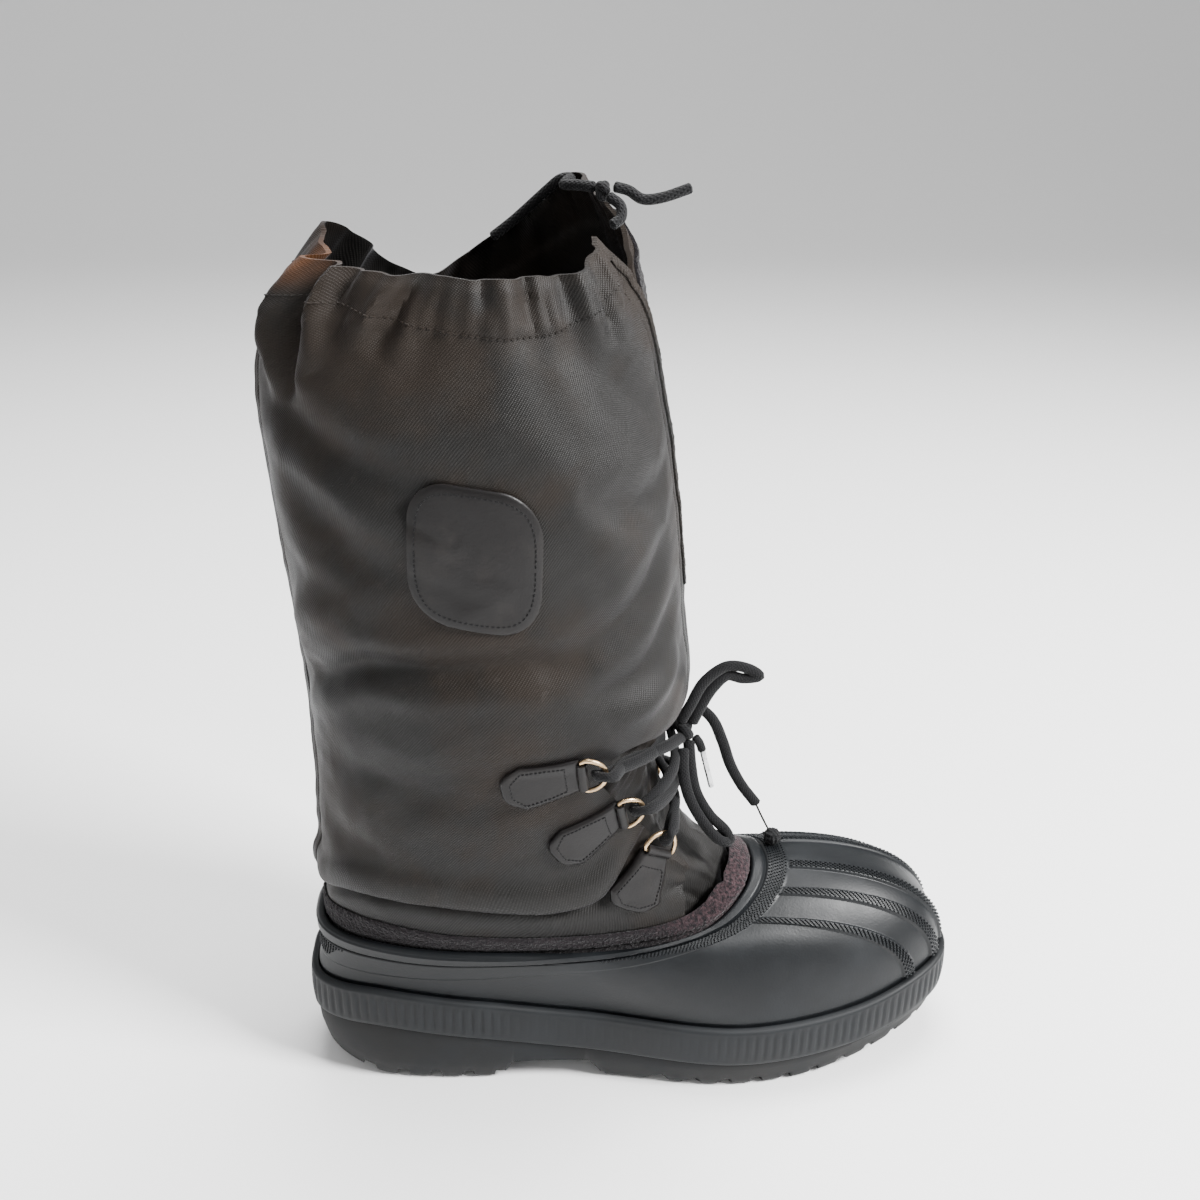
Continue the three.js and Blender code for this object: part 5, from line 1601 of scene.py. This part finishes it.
def studs(body, middles, runs, asides, outs, long, wide, high):
    """Diamond studs: a flat-topped pyramid on a diamond of `long` by `wide`, sunk a little."""
    base = np.array([(0.5, 0), (0, 0.5), (-0.5, 0), (0, -0.5)])
    low = middles[:, None] + base[None, :, :1] * long * runs[:, None]
    low = low + base[None, :, 1:] * wide * asides[:, None]
    top = middles[:, None] + 0.5 * (low - middles[:, None]) + outs[:, None] * high
    points = np.concatenate([low - outs[:, None] * 0.4, top], 1)
    return add_blocks(body, points, mark=0.12)


def shell_spots(turn, share, lift):
    """Places, directions along and across, and outward normals on the foot shell."""
    here = shell_point(turn, share)
    along = shell_point(turn, np.minimum(share + 0.004, 1)) - shell_point(turn, share - 0.004)
    along = along / np.linalg.norm(along, axis=-1, keepdims=True)
    aside = shell_point(turn + 0.3, share) - shell_point(turn - 0.3, share)
    out = np.cross(along, aside)
    out = out / np.linalg.norm(out, axis=-1, keepdims=True)
    out = np.where(((here - [110, 0, 30]) * out).sum(-1, keepdims=True) < 0, -out, out)
    aside = np.cross(out, along)
    return here + out * lift, along, aside, out


class BOOT_OT_knurls(bpy.types.Operator):
    """Diamond studs on the toe ribs and on the band under the collar"""

    bl_idname = "boot.knurls"
    bl_label = "Diamond studs"

    def execute(self, context):
        pitch = sizes()["knurl_pitch"]
        body = Body()
        for rib in TOE_RIB["turns"]:
            fine = np.linspace(0, 1, 600)
            line = shell_point(np.full(600, float(rib)), fine)
            arc = np.concatenate([[0], np.cumsum(np.linalg.norm(np.diff(line, axis=0), axis=1))])
            rows = np.arange(2.6, arc[-1] - 19.5, pitch * 0.52)
            share = np.interp(rows, arc, fine)
            step = shell_point(rib + 0.5, share) - shell_point(rib - 0.5, share)
            speed = np.linalg.norm(step, axis=-1)
            wide = lerp(TOE_RIB["foot"], TOE_RIB["head"], share) - 1.2
            cell = wide / 3.0
            for shift in (-1, 0, 1):
                odd = np.arange(len(rows)) % 2
                offset = (shift + 0.5 * odd) * cell
                keep = (np.abs(offset) < wide / 2) & ((shift < 1) | (odd == 0))
                place_turn = rib + offset / speed
                at = shell_spots(place_turn[keep], share[keep], TOE_RIB["high"])
                studs(body, *at, pitch * 0.9, cell[keep][:, None, None] * 0.9, 0.7)
        turns, shares = collar_band(pitch * 0.8)
        here, along, aside, out = shell_spots(turns, shares, 0.3)
        studs(body, here, along, aside, out, pitch * 0.76, pitch * 0.7, 0.6)
        body.piece("toe_knurls", finishes()["shell_rubber"], "rubber", sharp=20)
        return {"FINISHED"}


def collar_band(pitch):
    """Turns and shares of the studs under the collar: rows at even distances from its edge, full
    over the throat, thinning out along the sides, and again round the heel."""
    turns, shares = [], []
    fine = np.linspace(0, 1, 300)
    for row in range(9):
        depth = 9.2 + row * pitch * 0.55
        around = np.arange(-180, 180, 0.25)
        skin = shell_point(around[None, :], fine[:, None])
        arc = along_rows(skin)
        target = arc[-1] - depth
        k = np.argmax(arc > target, axis=0)
        share = fine[k]
        line = skin[k, np.arange(len(around))]
        run = np.concatenate([[0], np.cumsum(np.linalg.norm(np.diff(line, axis=0), axis=1))])
        wanted = np.arange((row % 2) * pitch / 2, run[-1], pitch)
        turn = np.interp(wanted, run, around)
        front = 9 * (1 - smooth(np.abs(turn), 56, 84))
        heel = 7 * smooth(np.abs(turn), 148, 162)
        keep = row < np.maximum(front, heel)
        turns.append(turn[keep])
        shares.append(np.interp(wanted, run, share)[keep])
    return np.concatenate(turns), np.concatenate(shares)


class BOOT_OT_foxing(bpy.types.Operator):
    """Foxing: a bulging band with upright ribs, full at the heel and toe and faint at the waist"""

    bl_idname = "boot.foxing"
    bl_label = "Foxing"

    def execute(self, context):
        values = sizes()
        fine = np.linspace(0, 360, 7200, endpoint=False)
        ring = foot_plan(fine)
        arc = np.concatenate([[0], np.cumsum(np.linalg.norm(np.diff(ring, axis=0), axis=1))])
        total = arc[-1] + np.linalg.norm(ring[0] - ring[-1])
        ribs = int(round(total / values["rib_pitch"]))
        count = ribs * 7
        even = np.arange(count) * total / count
        turn = np.interp(even, arc, fine)[None, :]
        wave = np.cos(np.arange(count) * 2 * np.pi / 7)[None, :]
        x = foot_plan(turn)[..., 0]
        strength = 1 - 0.8 * smooth(x, 30, 60) * (1 - smooth(x, 130, 175))
        up = [0, 0.02, 0.06, 0.14, 0.25, 0.38, 0.5, 0.62, 0.74, 0.83, 0.9, 0.94, 0.97, 1.0]
        up = np.array(up)[:, None]
        bulge = 0.75 * np.sin(np.pi * np.clip(up, 0, 1)) ** 0.6
        bulge = bulge - 1.0 * smooth(up, 0.93, 1.0) - 0.6 * (1 - smooth(up, 0, 0.05))
        groove = values["rib_deep"] * strength * smooth(up, 0.12, 0.3) * (1 - smooth(up, 0.78, 0.88))
        proud = bulge - groove * smooth(wave, 0.15, 0.85) - 0.35 * np.exp(-(((up - 0.88) / 0.025) ** 2))
        plan = inset_curve(foot_plan, turn, -proud)
        z = foxing_top(plan[..., 0]) - FOXING_HIGH * (1 - up)
        outer = np.concatenate([plan, z[..., None]], -1)
        inner = np.stack([
            foot_ring(turn[0], FOXING_THICK, lambda at: foxing_top(at) - FOXING_HIGH),
            foot_ring(turn[0], FOXING_THICK, foxing_top),
        ])
        middle = smooth(up, 0.2, 0.4) * (1 - smooth(up, 0.75, 0.85))
        edge = 0.28 * (1 - smooth(np.abs(wave + 0.2), 0.2, 0.8)) * middle * strength
        body = Body().wall(outer, inner, wrap=True, mark=edge)
        body.piece("foxing", finishes()["foxing_rubber"], "rubber", ["foxing_band"], sharp=60)
        return {"FINISHED"}


def channel_depth(x, y):
    """Depth of the tread channels at a place: chevrons at even pitch within the lugged lengths."""
    lean = x - np.abs(y) * math.tan(math.radians(LUG["skew"]))
    depth = np.zeros_like(x)
    for start, stop in LUGGED:
        last = start + LUG["pitch"] * ((stop - start) // LUG["pitch"])
        nearest = start + LUG["pitch"] * np.round((np.clip(lean, start, last) - start) / LUG["pitch"])
        away = np.abs(lean - nearest) - LUG["groove"] / 2
        depth = np.maximum(depth, LUG["deep"] * (1 - smooth(away, -0.5, 0.5)))
    return depth


def arch_height(x):
    """Underside of the arch: a low trapezium with rounded corners."""
    start, stop, high, slope = (ARCH[k] for k in ("from", "to", "high", "slope"))
    return high * smooth(x, start - 1, start + slope + 2) * (1 - smooth(x, stop - slope * 1.5, stop + slope))


# Rings up the sole's side: inset from its plan and height over the tread
SIDE_LIFTS = [(6.6, 0.2), (5.2, 1.4), (4.2, 3.2), (3.6, 5.4), (2.8, 8.5), (1.9, 12.0)]


def side_height(x, lift):
    """Height of a ring on the sole's side, kept below the foxing."""
    return np.minimum(tread(x) + lift, foxing_top(x) - FOXING_HIGH - 1.5)


class BOOT_OT_sole(bpy.types.Operator):
    """Lugged sole: rings from the middle of the tread out to its edge and up its side"""

    bl_idname = "boot.sole"
    bl_label = "Sole"

    def execute(self, context):
        turn = np.linspace(0, 360, 900, endpoint=False)
        edge = inset_curve(foot_plan, turn, 8.0)
        middle = np.array(SOLE_MIDDLE)
        share = np.linspace(0.0, 1.0, 64)[:, None, None]
        flat = middle + (edge - middle) * share
        bottom = np.concatenate([flat, tread(flat[..., 0])[..., None]], -1)
        side = []
        for inset, lift in SIDE_LIFTS:
            side.append(foot_ring(turn, inset, lambda x, lift=lift: side_height(x, lift)))
        ledge = FOXING_THICK + GAP

        def under(x):
            return foxing_top(x) - FOXING_HIGH - GAP

        side.append(foot_ring(turn, 1.2, lambda x: under(x) - 0.8))
        side.append(foot_ring(turn, 1.6, under))
        side.append(foot_ring(turn, ledge, under))
        side.append(foot_ring(turn, ledge, lambda x: foxing_top(x) - SHELL_SEAT))
        grid = np.concatenate([bottom, np.stack(side)])
        raised = tread(grid[..., 0]) + channel_depth(grid[..., 0], grid[..., 1])
        lifted = np.maximum(raised, arch_height(grid[..., 0]))
        worked = np.maximum(grid[..., 2], lifted)
        worked[-4:] = grid[-4:, :, 2]
        grid[..., 2] = worked
        inward = np.linspace(1, 0, 12)[1:, None, None]
        top = middle + (inset_curve(foot_plan, turn, ledge) - middle) * inward
        top = np.concatenate([top, (foxing_top(top[..., 0]) - SHELL_SEAT)[..., None]], -1)
        body = Body()
        body.grid(np.concatenate([grid, top]), wrap_cols=True)
        body.piece("tread_sole", finishes()["sole_rubber"], "sole", ["outsole"], merge=True, sharp=45)
        return {"FINISHED"}


class BOOT_OT_insole(bpy.types.Operator):
    """Felt insole, slightly dished"""

    bl_idname = "boot.insole"
    bl_label = "Insole"

    def execute(self, context):
        turn = np.linspace(0, 360, 360, endpoint=False)
        inset = FOXING_THICK + GAP + RUBBER + 1.6
        edge = inset_curve(foot_plan, turn, inset)
        middle = np.array(SOLE_MIDDLE)
        share = np.concatenate([np.linspace(0, 1, 40), [1.0], np.linspace(1, 0, 40)])[:, None, None]
        flat = middle + (edge - middle) * share
        top = np.concatenate([np.zeros(40), [0.7], np.ones(40)])[:, None]
        dish = 1.2 * (1 - share[..., 0] ** 4) * (top > 0.9)
        lumps = 0.2 * ripples(flat[..., 0], flat[..., 1], 9) * top
        z = shell_foot(flat[..., 0]) + 4.0 * top - dish + lumps
        body = Body()
        body.grid(np.concatenate([flat, z[..., None]], -1), wrap_cols=True, mark=0.6)
        body.piece("felt_insole", finishes()["felt_pile"], "felt", ["insole"], merge=True)
        return {"FINISHED"}


def add_light(name, place_at, size, energy, target, tint=(1, 1, 1)):
    """A square soft light at a place, turned to its target."""
    data = bpy.data.lights.new(name, "AREA")
    data.size, data.energy, data.color = size, energy, tint
    light = bpy.data.objects.new(name, data)
    bpy.context.scene.collection.objects.link(light)
    light.location = place_at
    light.rotation_euler = (Vector(target) - Vector(place_at)).to_track_quat("-Z", "Y").to_euler()


class BOOT_OT_stage(bpy.types.Operator):
    """Pale floor that curves up behind the boot, and soft studio lights"""

    bl_idname = "boot.stage"
    bl_label = "Stage"

    def execute(self, context):
        bend = np.linspace(0.1, np.pi / 2, 14)
        run = np.concatenate([np.linspace(-6, 3, 10), 3 + 3 * np.sin(bend), [6.0]])
        rise = np.concatenate([np.zeros(10), 3 - 3 * np.cos(bend), [9.0]])
        across = np.linspace(-9, 9, 7)
        points = np.stack(np.broadcast_arrays(across[None, :], run[:, None], rise[:, None]), -1)
        mesh = bpy.data.meshes.new("studio_floor")
        rows, cols = points.shape[:2]
        index = np.arange(rows * cols).reshape(rows, cols)
        quads = np.stack([index[:-1, :-1], index[:-1, 1:], index[1:, 1:], index[1:, :-1]], 2)
        quads = quads.reshape(-1, 4)
        mesh.from_pydata(points.reshape(-1, 3).tolist(), [], quads.tolist())
        mesh.polygons.foreach_set("use_smooth", np.ones(len(mesh.polygons), bool))
        material, _, shader = new_material("studio_paper", roughness=0.9)
        shader.inputs["Base Color"].default_value = colour("floor")
        mesh.materials.append(material)
        floor = bpy.data.objects.new("studio_floor", mesh)
        context.scene.collection.objects.link(floor)
        world = bpy.data.worlds.new("studio_sky")
        context.scene.world = world
        world.use_nodes = True
        back = next(n for n in world.node_tree.nodes if n.type == "BACKGROUND")
        back.inputs["Color"].default_value = (1, 1, 1, 1)
        back.inputs["Strength"].default_value = 0.62
        add_light("key_light", (1.35, -0.7, 1.35), 0.5, 120, (0.06, 0, 0.2))
        add_light("top_light", (0.2, 0.4, 1.9), 1.0, 62, (0.06, 0, 0.1))
        add_light("fill_light", (-1.4, -1.2, 0.9), 1.2, 4, (0.0, 0, 0.2))
        return {"FINISHED"}


ORDER = [
    BOOT_OT_camera, BOOT_OT_bow, BOOT_OT_drawcord, BOOT_OT_laces, BOOT_OT_leg, BOOT_OT_leg_seams,
    BOOT_OT_closure, BOOT_OT_tongue, BOOT_OT_fleece, BOOT_OT_tabs, BOOT_OT_rings, BOOT_OT_badge,
    BOOT_OT_shell, BOOT_OT_knurls, BOOT_OT_foxing, BOOT_OT_sole, BOOT_OT_insole, BOOT_OT_stage,
]


class BOOT_PT_panel(bpy.types.Panel):
    """Sidebar panel with the boot's settings and pieces"""

    bl_idname = "BOOT_PT_panel"
    bl_label = "Pac boot"
    bl_space_type = "VIEW_3D"
    bl_region_type = "UI"
    bl_category = "Boot"

    def draw(self, context):
        for settings in (context.scene.boot_sizes, context.scene.boot_colours):
            for name in type(settings).__annotations__:
                self.layout.prop(settings, name)
        for operator in ORDER:
            self.layout.operator(operator.bl_idname)


CLASSES = [BootSizes, BootColours, *ORDER, BOOT_PT_panel]


def register():
    for cls in CLASSES:
        bpy.utils.register_class(cls)
    bpy.types.Scene.boot_sizes = bpy.props.PointerProperty(type=BootSizes)
    bpy.types.Scene.boot_colours = bpy.props.PointerProperty(type=BootColours)


def unregister():
    del bpy.types.Scene.boot_colours
    del bpy.types.Scene.boot_sizes
    for cls in reversed(CLASSES):
        bpy.utils.unregister_class(cls)


def main():
    register()
    for operator in ORDER:
        getattr(bpy.ops.boot, operator.bl_idname.split(".")[1])()


if __name__ == "__main__":
    main()
